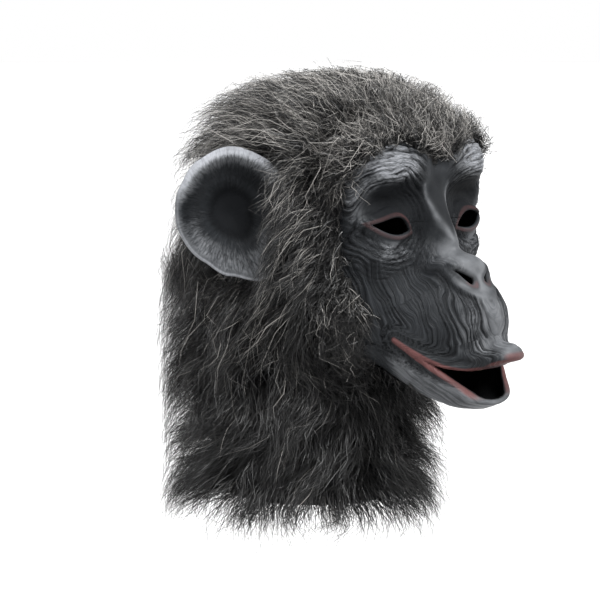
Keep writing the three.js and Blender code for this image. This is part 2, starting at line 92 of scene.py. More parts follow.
def soft_union(first: np.ndarray, second: np.ndarray, blend: float) -> np.ndarray:
    """Joins two depths with a rounded crease."""
    share = np.clip(0.5 + 0.5 * (first - second) / blend, 0, 1)
    return first + (second - first) * share - blend * share * (1 - share)


def off_line(u: np.ndarray, v: np.ndarray, start: Pair, end: Pair) -> Offsets:
    """Measures places in a plane from the straight line between two points.

    Args:
        u: the places' first coordinate.
        v: their second coordinate.
        start: where the line starts.
        end: where it ends.

    Returns:
        How far along the line the nearest point is, as a share, and the two offsets from that point.
    """
    eu, ev = end[0] - start[0], end[1] - start[1]
    share = np.clip(((u - start[0]) * eu + (v - start[1]) * ev) / (eu * eu + ev * ev), 0, 1)
    return share, u - start[0] - eu * share, v - start[1] - ev * share


@dataclass(frozen=True)
class FaceFrame:
    """The frame that the mask is drawn in, and the sizes that its forms are shares of, in mm."""

    half: float = 80.0
    reach: float = 200.0
    drop: float = 150.0
    crown_forward: float = -14.0
    crown_inner: float = 98.75

    def to_part(self, points: np.ndarray) -> np.ndarray:
        """Places in the part's frame, in metres, of places in the face frame."""
        x, f, z = np.moveaxis(np.asarray(points, float), -1, 0)
        return np.stack([x, self.crown_forward - f, z - self.crown_inner], -1) * MM


@dataclass(frozen=True)
class Grain:
    """Smooth seeded noise in space, between -1 and 1."""

    seed: int

    def at(self, points: np.ndarray) -> np.ndarray:
        """The noise at each place."""
        base = np.floor(points).astype(np.int64)
        part = points - base
        part = part * part * (3 - 2 * part)
        total = np.zeros(points.shape[:-1])
        for corner in range(8):
            step = np.array([corner & 1, (corner >> 1) & 1, (corner >> 2) & 1])
            weight = np.prod(np.where(step == 1, part, 1 - part), axis=-1)
            total += weight * self._corner(base + step)
        return total

    def _corner(self, cells: np.ndarray) -> np.ndarray:
        """The value at corners of the noise's lattice."""
        mixed = cells @ np.array([374761393, 668265263, 1442695041]) + self.seed * 1274126177
        mixed = (mixed ^ (mixed >> 13)) * 1274126177
        mixed = mixed ^ (mixed >> 16)
        return (mixed & 0xFFFF) / 32767.5 - 1


@dataclass(frozen=True)
class Form:
    """One rounded form of the head: place and radii in shares of the face's sizes, turns in degrees."""

    name: str
    x: float
    f: float
    z: float
    rx: float
    rf: float
    rz: float
    pitch: float
    yaw: float
    blend: float
    sign: int = 1

    def outside(self, points: np.ndarray, face: FaceFrame) -> np.ndarray:
        """How far places are outside the form, in mm; a form off the middle is doubled left and right."""
        side = np.abs(points[:, 0]) if self.x > 0 else points[:, 0]
        px = side - self.x * face.half
        pf = points[:, 1] - self.f * face.reach
        pz = points[:, 2] - self.z * face.drop
        cy, sy = cos(radians(self.yaw)), sin(radians(self.yaw))
        px, pf = cy * px - sy * pf, sy * px + cy * pf
        cp, sp = cos(radians(self.pitch)), sin(radians(self.pitch))
        pf, pz = cp * pf - sp * pz, sp * pf + cp * pz
        ax, af, az = self.rx * face.half, self.rf * face.reach, self.rz * face.drop
        scaled = np.sqrt((px / ax) ** 2 + (pf / af) ** 2 + (pz / az) ** 2) + 1e-6
        growth = np.sqrt((px / ax**2) ** 2 + (pf / af**2) ** 2 + (pz / az**2) ** 2) + 1e-9
        return scaled * (scaled - 1) / growth


HEAD_FORMS = (
    Form("cranium", 0, -0.07, 0.02, 1.06, 0.52, 0.655, 0, 0, 0),
    Form("mid_face", 0, 0.15, -0.24, 0.93, 0.3, 0.56, 0, 0, 24),
    Form("forehead", 0, 0.33, 0.26, 0.5, 0.1, 0.2, 0, 0, 18),
    Form("brow_inner", 0.34, 0.41, 0.3, 0.27, 0.08, 0.13, -10, 10, 15),
    Form("brow_mid", 0.6, 0.4, 0.285, 0.26, 0.09, 0.15, -12, 22, 16),
    Form("brow_outer", 0.82, 0.31, 0.13, 0.13, 0.085, 0.23, 0, 32, 18),
    Form("eye_bag", 0.6, 0.375, -0.185, 0.28, 0.09, 0.125, 8, 16, 13),
    Form("bridge", 0, 0.46, -0.01, 0.1, 0.07, 0.24, -34, 0, 14),
    Form("muzzle", 0, 0.405, -0.52, 0.68, 0.385, 0.34, 14, 0, 24),
    Form("muzzle_front", 0, 0.585, -0.56, 0.46, 0.19, 0.26, 14, 0, 16),
    Form("nose_pad", 0, 0.615, -0.285, 0.26, 0.085, 0.085, -26, 0, 10),
    Form("nose_wing", 0.23, 0.595, -0.315, 0.16, 0.065, 0.075, 0, 25, 7),
    Form("upper_lip", 0, 0.755, -0.71, 0.34, 0.085, 0.055, 0, 0, 10),
    Form("lip_beak", 0, 0.85, -0.69, 0.18, 0.06, 0.05, 4, 0, 7),
    Form("lower_jaw", 0, 0.42, -0.69, 0.64, 0.41, 0.22, 30, 0, 16),
    Form("lower_lip", 0, 0.7, -0.93, 0.36, 0.105, 0.055, 8, 0, 10),
    Form("jaw_side", 0.58, 0.14, -0.46, 0.34, 0.27, 0.36, 16, 10, 20),
    Form("socket", 0.54, 0.505, 0.085, 0.29, 0.09, 0.115, 0, 12, 11, -1),
    Form("lids", 0.58, 0.375, -0.03, 0.29, 0.09, 0.1, 0, 16, 7),
)


@dataclass(frozen=True)
class HeadShape:
    """The moulded head and its neck, as depth rules in the face frame."""

    face: FaceFrame = FaceFrame()
    wall: float = 2.5
    neck_heights: tuple[float, ...] = (-245, -205, -150, -85, -45)
    neck_radii: tuple[float, ...] = (78, 74, 72, 69, 56)
    neck_middles: tuple[float, ...] = (-46, -46, -44, -40, -36)
    neck_blend: float = 6.0
    rim: float = -245.0

    def head(self, points: np.ndarray) -> np.ndarray:
        """How far places are outside the head without its neck."""
        depth = HEAD_FORMS[0].outside(points, self.face)
        for form in HEAD_FORMS[1:]:
            other = form.sign * form.outside(points, self.face)
            if form.sign > 0:
                depth = soft_union(depth, other, form.blend)
            else:
                depth = -soft_union(-depth, -other, form.blend)
        return depth

    def neck(self, points: np.ndarray) -> np.ndarray:
        """How far places are outside the neck, which is carried on below its rim."""
        x, f, z = points.T
        radius = np.interp(z, self.neck_heights, self.neck_radii)
        middle = np.interp(z, self.neck_heights, self.neck_middles)
        return np.maximum(np.hypot(x, f - middle) - radius, z - self.neck_heights[-1])

    def latex(self, points: np.ndarray) -> np.ndarray:
        """How far places are outside the head and neck together."""
        return soft_union(self.head(points), self.neck(points), self.neck_blend)


@dataclass(frozen=True)
class Openings:
    """The mouth, eye and nostril openings, each as a distance to its edge, less than nothing inside it."""

    face: FaceFrame = FaceFrame()
    mouth_f: tuple[float, ...] = (0.485, 0.54, 0.605, 0.68, 0.75, 0.8, 0.86, 0.92, 1.03)
    mouth_upper: tuple[float, ...] = (-0.64, -0.679, -0.72, -0.761, -0.779, -0.767, -0.729, -0.71, -0.71)
    mouth_lower: tuple[float, ...] = (-0.64, -0.683, -0.745, -0.833, -0.913, -0.973, -1.04, -1.06, -1.066)
    eye_out: float = 48.5
    eye_up: float = -6.5
    eye_half: float = 21.5
    eye_top: float = 12.2
    eye_bottom: float = 7.0
    eye_tilt: float = 12.0
    nostril_outer: tuple[float, float, float] = (20.0, -38.5, 1.8)
    nostril_inner: tuple[float, float, float] = (8.8, -48.0, 4.3)

    def mouth(self, points: np.ndarray) -> np.ndarray:
        """Distance to the edge of the mouth, seen from the side."""
        f, z = points[:, 1], points[:, 2]
        depth = np.array(self.mouth_f) * self.face.reach
        upper = np.stack([depth, np.array(self.mouth_upper) * self.face.drop], -1)
        lower = np.stack([depth, np.array(self.mouth_lower) * self.face.drop], -1)
        outline = np.concatenate([upper, lower[:0:-1]])
        nearest = np.full(len(points), 1e9)
        inside = np.zeros(len(points), bool)
        for (ax, az), (bx, bz) in zip(outline, np.roll(outline, -1, 0)):
            _, df, dz = off_line(f, z, (ax, az), (bx, bz))
            nearest = np.minimum(nearest, df**2 + dz**2)
            if az != bz:
                inside ^= ((az > z) != (bz > z)) & (f < ax + (bx - ax) * (z - az) / (bz - az))
        return np.where(inside, -1, 1) * np.sqrt(nearest)

    def eyes(self, points: np.ndarray) -> np.ndarray:
        """Distance to the edge of the nearer eye opening, seen from the front."""
        out, up = np.abs(points[:, 0]) - self.eye_out, points[:, 2] - self.eye_up
        c, s = cos(radians(self.eye_tilt)), sin(radians(self.eye_tilt))
        out, up = c * out + s * up, c * up - s * out
        share = np.clip(out / self.eye_half, -1.4, 1.4)
        skewed = share + 0.25 * (1 - share * share)
        top = self.eye_top * (1 - np.minimum(skewed * skewed, 1.96))
        bottom = -self.eye_bottom * (1 - np.minimum(share * share, 1.96))
        return np.maximum(np.maximum(up - top, bottom - up) * 0.75, 62 - points[:, 1])

    def nostrils(self, points: np.ndarray) -> np.ndarray:
        """Distance to the edge of the nearer nostril, seen from the front."""
        (ax, az, wide), (bx, bz, wider) = self.nostril_outer, self.nostril_inner
        share, dx, dz = off_line(np.abs(points[:, 0]), points[:, 2], (ax, az), (bx, bz))
        reach = np.hypot(dx, dz) - wide - (wider - wide) * share
        return np.maximum(reach, 108 - points[:, 1])


@dataclass
class Sheet:
    """Points in the face frame and the faces between them."""

    points: np.ndarray
    faces: np.ndarray

    def triangles(self) -> int:
        """How many triangles the faces make."""
        return len(self.faces) * (self.faces.shape[1] - 2)

    def kept(self, wanted: np.ndarray) -> "Sheet":
        """The faces asked for, with the points that they use."""
        faces = self.faces[wanted]
        used, places = np.unique(faces, return_inverse=True)
        return Sheet(self.points[used], places.reshape(faces.shape))

    def middles(self) -> np.ndarray:
        """The middle of each face."""
        return self.points[self.faces].mean(1)


def joined(sheets: list[Sheet]) -> Sheet:
    """Several sheets as one."""
    starts = np.cumsum([0] + [len(sheet.points) for sheet in sheets[:-1]])
    faces = np.concatenate([sheet.faces + start for sheet, start in zip(sheets, starts)])
    return Sheet(np.concatenate([sheet.points for sheet in sheets]), faces)


@dataclass(frozen=True)
class Net:
    """Meshes the zero level of a depth rule in a box, with a point in each cell that it crosses."""

    low: tuple[float, float, float]
    high: tuple[float, float, float]
    step: float
    skip: int = 4

    def sheet(self, rule: Rule) -> Sheet:
        """The surface on which the rule is nothing.

        Args:
            rule: the depth rule, in mm.

        Returns:
            Four-sided faces that look to where the rule grows.
        """
        values = self._values(rule)
        size = np.array(values.shape)
        cells, places, quads = [], [], []
        for axis in range(3):
            first = np.moveaxis(values, axis, 0)[:-1]
            second = np.moveaxis(values, axis, 0)[1:]
            crossed = np.argwhere((first < 0) != (second < 0))
            a, b = first[tuple(crossed.T)], second[tuple(crossed.T)]
            node = np.insert(crossed[:, 1:], axis, crossed[:, 0], axis=1)
            place = node.astype(float)
            place[:, axis] += a / (a - b)
            others = [other for other in range(3) if other != axis]
            inner = np.all((node[:, others] > 0) & (node[:, others] < size[others] - 1), axis=1)
            node, place, growing = node[inner], place[inner], (a < 0)[inner]
            corners = []
            for back in ((0, 0), (1, 0), (1, 1), (0, 1)):
                cell = node.copy()
                cell[:, others[0]] -= back[0]
                cell[:, others[1]] -= back[1]
                corners.append((cell[:, 0] * size[1] + cell[:, 1]) * size[2] + cell[:, 2])
            quad = np.stack(corners, -1)
            if axis == 1:
                growing = ~growing
            quads.append(np.where(growing[:, None], quad, quad[:, ::-1]))
            cells.append(quad.ravel())
            places.append(np.repeat(place, 4, axis=0))
        used, index = np.unique(np.concatenate(cells), return_inverse=True)
        where = np.concatenate(places)
        count = np.bincount(index)
        points = np.stack([np.bincount(index, where[:, axis]) / count for axis in range(3)], -1)
        faces = np.searchsorted(used, np.concatenate(quads))
        return Sheet(points * self.step + np.array(self.low), faces)

    def _values(self, rule: Rule) -> np.ndarray:
        """The rule at every node of the grid, worked out in full only near its zero level."""
        size = np.ceil((np.array(self.high) - np.array(self.low)) / self.step).astype(int) + 1
        rough_size = np.ceil(size / self.skip).astype(int) + 1
        rough = np.stack(np.meshgrid(*[np.arange(n) for n in rough_size], indexing="ij"), -1).reshape(-1, 3)
        rough_values = rule(rough * self.step * self.skip + np.array(self.low)).reshape(rough_size)
        values = rough_values
        for axis in range(3):
            values = np.repeat(values, self.skip, axis)
        shift = self.skip // 2
        values = values[tuple(slice(shift, n + shift) for n in size)].copy()
        near = np.argwhere(np.abs(values) < self.step * self.skip * 1.3 + 1)
        values[tuple(near.T)] = rule(near * self.step + np.array(self.low))
        return values


def add_mesh(name: str, sheet: Sheet, face: FaceFrame, marks: dict[str, np.ndarray]) -> bpy.types.Object:
    """Makes a mesh object in the part's frame.

    Args:
        name: the object's name.
        sheet: its points and faces; points that repeat the last corner of a face make it a triangle.
        face: the face frame.
        marks: values kept on each point, by name, one number or three for each.

    Returns:
        The new object.
    """
    mesh = bpy.data.meshes.new(name)
    corners = sheet.faces.shape[1]
    mesh.vertices.add(len(sheet.points))
    mesh.vertices.foreach_set("co", face.to_part(sheet.points).astype(np.float32).ravel())
    mesh.loops.add(sheet.faces.size)
    mesh.loops.foreach_set("vertex_index", sheet.faces[:, ::-1].astype(np.int32).ravel())
    mesh.polygons.add(len(sheet.faces))
    mesh.polygons.foreach_set("loop_start", np.arange(0, sheet.faces.size, corners, dtype=np.int32))
    mesh.polygons.foreach_set("use_smooth", np.ones(len(sheet.faces), bool))
    mesh.update(calc_edges=True)
    for key, values in marks.items():
        kind, slot = ("FLOAT_VECTOR", "vector") if values.ndim == 2 else ("FLOAT", "value")
        mark = mesh.attributes.new(key, kind, "POINT")
        mark.data.foreach_set(slot, values.astype(np.float32).ravel())
    piece = bpy.data.objects.new(name, mesh)
    bpy.context.scene.collection.objects.link(piece)
    return piece


@dataclass(frozen=True)
class Wrinkles:
    """Where the latex is creased: rings round the eyes and folds round the muzzle."""

    eye_x: float = 48.5
    eye_z: float = -3.0
    philtrum: tuple[Pair, ...] = ((118.0, 6.0), (150.0, -34.0), (178.0, -84.0), (190.0, -130.0))
    ring_width: float = 3.7
    fold_width: float = 4.3
    ring_depth: float = 2.0
    fold_depth: float = 1.9
    ridge_top: tuple[float, float] = (14.0, 27.0)
    ridge_foot: tuple[float, float] = (1.5, -20.0)
    mouth: Rule = field(default_factory=lambda: Openings().mouth)

    def rings(self, points: np.ndarray) -> tuple[np.ndarray, np.ndarray]:
        """Coordinates across and along the rings, in widths of a crease, and where the rings show."""
        x, f, z = points.T
        dx, dz = np.abs(x) - self.eye_x, (z - self.eye_z) / 1.12
        reach = np.hypot(dx, dz)
        wander = 1.7 * Grain(3).at(points / 14)
        lines = np.stack([(reach + wander) / self.ring_width, np.arctan2(dz, dx) * 34 / 17, x / 70], -1)
        share = smooth(reach, 13, 18) * (1 - smooth(reach, 64, 84)) * smooth(f, 26, 48)
        socket = smooth(dz, 0, 8) * (1 - smooth(reach, 24, 33))
        low = -z + 11 * Grain(61).at(points / 12)
        share = share * (1 - smooth(low, 32, 52)) * smooth(np.abs(x), 8, 20) * (1 - 0.8 * socket)
        return lines, share

    def folds(self, points: np.ndarray) -> tuple[np.ndarray, np.ndarray]:
        """The same for the folds that run down the cheeks and round the muzzle."""
        x, f, z = points.T
        reach, along = np.full(len(points), 1e9), np.zeros(len(points))
        for (af, az), (bf, bz) in zip(self.philtrum[:-1], self.philtrum[1:]):
            share, df, dz = off_line(f, z, (af, az), (bf, bz))
            here = np.sqrt(1.3 * x**2 + 60 + df**2 + dz**2)
            along = np.where(here < reach, az + (bz - az) * share, along)
            reach = np.minimum(reach, here)
        mouth = self.mouth(points)
        below = smooth(self.under_mouth(points), 4, 16)
        lip = (1 - smooth(mouth, 2, 15)) * (1 - 0.3 * smooth(f, 130, 150))
        lip = np.maximum(0.75 * lip, below)
        wander = 3.0 * Grain(5).at(points / 17) + 1.0 * Grain(6).at(points / 6)
        across = (reach * (1 - lip) + (mouth + 40) * lip + wander) / self.fold_width
        across = across + 0.5 * np.sin(0.9 * across + 2 * Grain(7).at(points / 25))
        lines = np.stack([across, (along - 0.5 * z + 0.5 * f) / 26, x / 70], -1)
        nose = 1 - smooth(self.nose(points), 0.85, 1.0)
        start = -z + 11 * Grain(61).at(points / 12)
        middle = (1 - smooth(np.abs(x) + 5 * Grain(62).at(points / 9), 2, 15)) * smooth(f, 120, 135)
        middle = np.maximum(0.45 * middle, 0.85 * smooth(f, 166, 180))
        share = smooth(start, 24, 46) * smooth(f, 24, 50) * (1 - 0.6 * below) * (1 - nose)
        return lines, share * (1 - middle)

    def under_mouth(self, points: np.ndarray) -> np.ndarray:
        """How far places are below the slanting line of the mouth, in mm."""
        return -(points[:, 2] + 100 + 0.42 * (points[:, 1] - 97))

    def nose(self, points: np.ndarray) -> np.ndarray:
        """How far places are from the middle of the nose pad, 1 at the groove round its wings."""
        far = np.where(points[:, 1] > 96, 0, 9)
        return np.hypot(points[:, 0] / 28, (points[:, 2] + 41) / 23) + far

    def ridge(self, points: np.ndarray) -> np.ndarray:
        """The thin ridges that run from the brows' inner ends to the bridge of the nose, 1 on top."""
        _, dx, dz = off_line(np.abs(points[:, 0]), points[:, 2], self.ridge_top, self.ridge_foot)
        far = np.hypot(dx, dz)
        return np.exp(-((far / 2.4) ** 2)) * smooth(points[:, 1], 60, 75)

    def creases(self, lines: np.ndarray, seed: int) -> np.ndarray:
        """Depth of the creases, 0 on a ridge and 1 in a furrow."""
        warp = 0.55 * Grain(seed + 2).at(lines * np.array([0.45, 0.9, 1]))
        warp = warp + 0.2 * Grain(seed + 4).at(lines * np.array([1.3, 3.1, 2]))
        wave = 0.5 + 0.5 * np.cos(2 * pi * (lines[:, 0] + warp))
        strength = 0.15 + 0.85 * smooth(Grain(seed + 3).at(lines * np.array([0.8, 1.6, 1])), -0.5, 0.4)
        narrow = Grain(seed + 1).at(lines * np.array([1.9, 1.5, 1]))
        branch = np.clip(1 - 3.2 * np.abs(narrow), 0, 1)
        return np.clip(0.8 * strength * wave**2.2 + 0.32 * branch, 0, 1)


@dataclass
class MouldedHead:
    """The latex head: a fine shell for the face, a coarser one for skull and neck, and the rim's bead."""

    shape: HeadShape = field(default_factory=HeadShape)
    openings: Openings = field(default_factory=Openings)
    wrinkles: Wrinkles = field(default_factory=Wrinkles)
    face_step: float = 1.18
    inner_step: float = 3.4
    skull_step: float = 5.0
    face_from: float = 26.0
    lip_roll: float = 2.7
    lid_roll: float = 1.9
    nostril_roll: float = 1.6
    rim_bead: float = 2.0

    def shell(self, points: np.ndarray) -> np.ndarray:
        """Depth rule of the finished wall, with its openings and their rolled edges."""
        depth = self.shape.latex(points)
        near = np.abs(depth) < 12
        wall = np.maximum(depth, -(depth + self.shape.wall))
        close, spots = depth[near], points[near]
        mouth, eyes, nostrils = (rule(spots) for rule in (
            self.openings.mouth, self.openings.eyes, self.openings.nostrils))
        cut = np.maximum(wall[near], -np.minimum(np.minimum(mouth, eyes), nostrils))
        taper = 0.55 + 0.45 * smooth(spots[:, 1], 96, 135)
        front = 1 - 0.3 * smooth(spots[:, 1], 130, 150) * smooth(-spots[:, 2], 112, 122)
        lip = np.hypot(close + 1.2, mouth) - self.lip_roll * taper * front
        lid = np.hypot(close + 0.4, eyes) - self.lid_roll
        nostril = np.hypot(close + 1.5, nostrils) - self.nostril_roll
        far = 60.0
        cut = soft_union(cut, np.where(spots[:, 1] > 60, np.minimum(lid, nostril), far), 1.5)
        wall[near] = soft_union(cut, np.where(spots[:, 1] > 80, lip, far), 4)
        return np.maximum(wall, self.face_from - points[:, 1])

    def face_sheet(self) -> tuple[Sheet, np.ndarray, np.ndarray]:
        """The fine outside of the face.

        Returns:
            The smooth sheet, how far each point is on the outside, and how far its creases are pressed in.
        """
        net = Net((-96, self.face_from - 4, -162), (96, 198, 92), self.face_step)
        sheet = net.sheet(self.shell)
        sheet = sheet.kept(self.shape.head(sheet.middles()) > -2.1)
        for _ in range(2):
            points = sheet.points
            sheet.points = points - 0.8 * self.shell(points)[:, None] * slope(self.shell, points)
        outer = smooth(self.shape.head(sheet.points), -1.7, -0.7)
        outward = slope(self.shape.head, sheet.points)
        return sheet, outer, (outer * self.press(sheet.points))[:, None] * outward

    def lining_sheet(self) -> Sheet:
        """The inside of the face, on a coarser net."""
        net = Net((-96, self.face_from - 4, -162), (96, 198, 92), self.inner_step)
        sheet = net.sheet(lambda points: np.maximum(self.shape.head(points) + self.shape.wall,
                                                    self.face_from - 2 - points[:, 1]))
        sheet.faces = sheet.faces[:, ::-1]
        middle = sheet.middles()
        gap = np.minimum(self.openings.mouth(middle), self.openings.nostrils(middle))
        gap = np.minimum(gap, self.openings.eyes(middle))
        return sheet.kept((gap > -0.5) & (middle[:, 1] > self.face_from + 1))

    def press(self, points: np.ndarray) -> np.ndarray:
        """How deep the creases are pressed into the latex, in mm."""
        rings, ring_share = self.wrinkles.rings(points)
        folds, fold_share = self.wrinkles.folds(points)
        eyes = self.openings.eyes(points)
        keep = smooth(eyes, 1.5, 5) * smooth(self.openings.nostrils(points), 1, 4)
        keep = keep * (0.35 + 0.65 * smooth(self.openings.mouth(points), 3, 9))
        press = self.wrinkles.ring_depth * ring_share * self.wrinkles.creases(rings, 11)
        press = np.maximum(press, self.wrinkles.fold_depth * fold_share * self.wrinkles.creases(folds, 21))
        nose = self.wrinkles.nose(points)
        side, below = np.abs(points[:, 0]), self.openings.eye_up - points[:, 2]
        lids = 1.5 * np.exp(-(((eyes - 5.2) / 0.9) ** 2))
        lids = lids + 1.2 * smooth(below, -3, 3) * np.exp(-(((eyes - 8.6) / 0.8) ** 2))
        lids = lids * (1 - smooth(np.hypot(side - self.openings.eye_out, below), 22, 29))
        wing = np.exp(-(((nose - 1) / 0.075) ** 2)) * smooth(side, 10, 20)
        wing = wing * smooth(-points[:, 2], 22, 32)
        relief = press + 0.12 * Grain(31).at(points / 2.6) + 0.4 * Grain(33).at(points / 9)
        relief = relief * (1 - 0.75 * (1 - smooth(nose, 0.6, 1.0)))
        return keep * relief + 0.9 * lids + 1.9 * wing - 0.8 * self.wrinkles.ridge(points)

    def skull_sheets(self) -> list[Sheet]:
        """Outside and inside of the wall behind the face, and of the neck."""
        low, high = (-90, -130, self.shape.rim - 12), (90, self.face_from + 8, 108)
        net = Net(low, high, self.skull_step)
        outside = net.sheet(self.shape.latex)
        inside = net.sheet(lambda points: self.shape.latex(points) + self.shape.wall)
        inside.faces = inside.faces[:, ::-1]
        kept = []
        for sheet, level in ((outside, 0), (inside, -self.shape.wall)):
            points = sheet.points
            away = (self.shape.latex(points) - level)[:, None] * slope(self.shape.latex, points)
            sheet.points = points - away
            middle = sheet.middles()
            wanted = (middle[:, 1] < self.face_from + 3) & (middle[:, 2] > self.shape.rim + 1)
            kept.append(sheet.kept(wanted))
        return kept

    def rim_sheet(self) -> Sheet:
        """The bead round the open bottom of the neck."""
        around, across = 96, 10
        turn = np.arange(around) * 2 * pi / around
        tilt = np.arange(across) * 2 * pi / across
        radius = self.shape.neck_radii[0] - self.shape.wall / 2 + self.rim_bead * np.cos(tilt)
        height = self.shape.rim + self.rim_bead + 1.6 * self.rim_bead * np.sin(tilt)
        points = np.stack([
            np.outer(np.sin(turn), radius),
            self.shape.neck_middles[0] + np.outer(np.cos(turn), radius),
            np.tile(height, (around, 1)),
        ], -1).reshape(-1, 3)
        return Sheet(points, loop_faces(around, across))

    def marks(self, points: np.ndarray, outer: np.ndarray) -> dict[str, np.ndarray]:
        """What the paint needs to know at each point of the latex."""
        x, f, z = points.T
        rings, ring_share = self.wrinkles.rings(points)
        folds, fold_share = self.wrinkles.folds(points)
        mouth, eyes = self.openings.mouth(points), self.openings.eyes(points)
        nostrils = self.openings.nostrils(points)
        lower = smooth(self.wrinkles.under_mouth(points), 2, 10)
        band = 2.7 - 1.9 * smooth(f, 108, 150) - 0.8 * lower * smooth(f, 110, 135)
        lips = (1 - smooth(mouth, band - 1.6, band + 1.2)) * smooth(f, 84, 98)
        lips = lips * (1 - 0.85 * smooth(f, 152, 164) * smooth(-z, 112, 118)) * (1 - 0.2 * lower)
        tip = smooth(f, 172, 182) * smooth(-z, 98, 104) * (1 - smooth(-z, 112, 116))
        lips = np.maximum(lips, 0.75 * tip)
        lids = 1 - smooth(np.abs(eyes), 0.9, 2.3)
        wings = (1 - smooth(np.abs(nostrils), 0.8, 2.6)) * smooth(-z, 44, 50)
        side = np.abs(x)
        # dark paint and painted shade in the sockets, at the inner eye corners and between the brows
        dark_paint_and_shade = 1 - smooth(np.hypot((side - 45) / 34, (z - 13) / 20), 0.62, 1.12)
        inner = 1 - smooth(np.hypot((side - 17) / 13, (z - 6) / 32), 0.45, 1.1)
        brows = 0.75 * (1 - smooth(np.hypot(side / 15, (z - 14) / 30), 0.5, 1.1))
        dark_paint_and_shade = np.max([dark_paint_and_shade, inner * smooth(side, 1.5, 5.5), brows], axis=0) * smooth(f, 60, 80)
        ridge = self.wrinkles.ridge(points)
        dark_paint_and_shade = dark_paint_and_shade * (1 - 0.9 * ridge)
        groove = np.exp(-(((self.wrinkles.nose(points) - 1) / 0.07) ** 2)) * smooth(side, 10, 20)
        groove = groove * smooth(-z, 22, 32)
        # painted shade under the nostrils and in the groove round the nose wings
        under = np.maximum(0.6 * (1 - smooth(np.abs(nostrils), 1, 4)), 0.7 * groove)
        # crease depth, which the paint darkens as painted shade
        creases = ring_share * self.wrinkles.creases(rings, 11)
        creases = creases + fold_share * self.wrinkles.creases(folds, 21)
        return {
            "rings": rings, "ring_share": ring_share, "folds": folds, "fold_share": fold_share,
            "pink": np.max([lips, 0.5 * lids, 0.5 * wings], axis=0),
            "dark_paint_and_shade": np.maximum(dark_paint_and_shade, under),
            "raised": self._raised(points),
            "crease": creases,
            "outer": outer,
        }

    def _raised(self, points: np.ndarray) -> np.ndarray:
        """Where the light dry-brush paint and the painted highlights lie: brows, nose, eye bags and the front
        of the muzzle.
        """
        x, f, z = points.T
        side = np.abs(x)
        brow = 1 - smooth(np.hypot((side - 50) / 38, (z - 48) / 22), 0.5, 1.1)
        brow = np.maximum(brow, 0.7 * (1 - smooth(np.hypot((side - 72) / 15, (z - 24) / 32), 0.5, 1.1)))
        nose = 1 - smooth(self.wrinkles.nose(points) - 0.3 * smooth(z, -40, -10), 0.5, 1.15)
        bag = 0.7 * (1 - smooth(np.hypot((side - 46) / 22, (z + 27) / 14), 0.3, 1.1))
        muzzle = 0.8 * (1 - smooth(np.hypot(side / 44, (z + 82) / 40), 0.3, 1.15)) * smooth(f, 95, 135)
        jaw = 0.8 * smooth(f, 70, 100) * smooth(self.wrinkles.under_mouth(points), 4, 16)
        ridge = 0.6 * self.wrinkles.ridge(points)
        nose = 0.72 * nose * smooth(f, 96, 108)
        return np.max([1.22 * brow, ridge, nose, bag, muzzle, jaw], axis=0) * smooth(f, 40, 75)

    def build(self, finish: "LatexFinish") -> None:
        """Makes the dressed head, a face and a skull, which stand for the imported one."""
        face, outer, press = self.face_sheet()
        marks = self.marks(face.points, outer)
        face.points = face.points - press
        self._dressed("moulded_face", face, marks, finish)
        outside, inside = self.skull_sheets()
        rest = joined([outside, inside, self.lining_sheet(), self.rim_sheet()])
        shown = np.zeros(len(rest.points))
        shown[:len(outside.points)] = 1
        self._dressed("moulded_skull", rest, self.marks(rest.points, shown), finish)

    def _dressed(self, name: str, sheet: Sheet, marks: dict[str, np.ndarray], finish: "LatexFinish") -> None:
        """Makes one piece of the head."""
        piece = add_mesh(name, sheet, self.shape.face, marks)
        piece.data.materials.append(finish.dress())
        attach(piece, "root")
        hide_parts("latex_head")
        log.info("%s: %d triangles", name, sheet.triangles())


def loop_faces(around: int, across: int) -> np.ndarray:
    """Four-sided faces of a closed ring, its points listed section by section."""
    section = np.arange(around)[:, None]
    point = np.arange(across)[None, :]
    after, beside = (section + 1) % around, (point + 1) % across
    here, there = section * across, after * across
    return np.stack([here + point, there + point, there + beside, here + beside], -1).reshape(-1, 4)


class Side(Enum):
    """Which side of the wearer a piece is on."""

    LEFT = 1
    RIGHT = -1


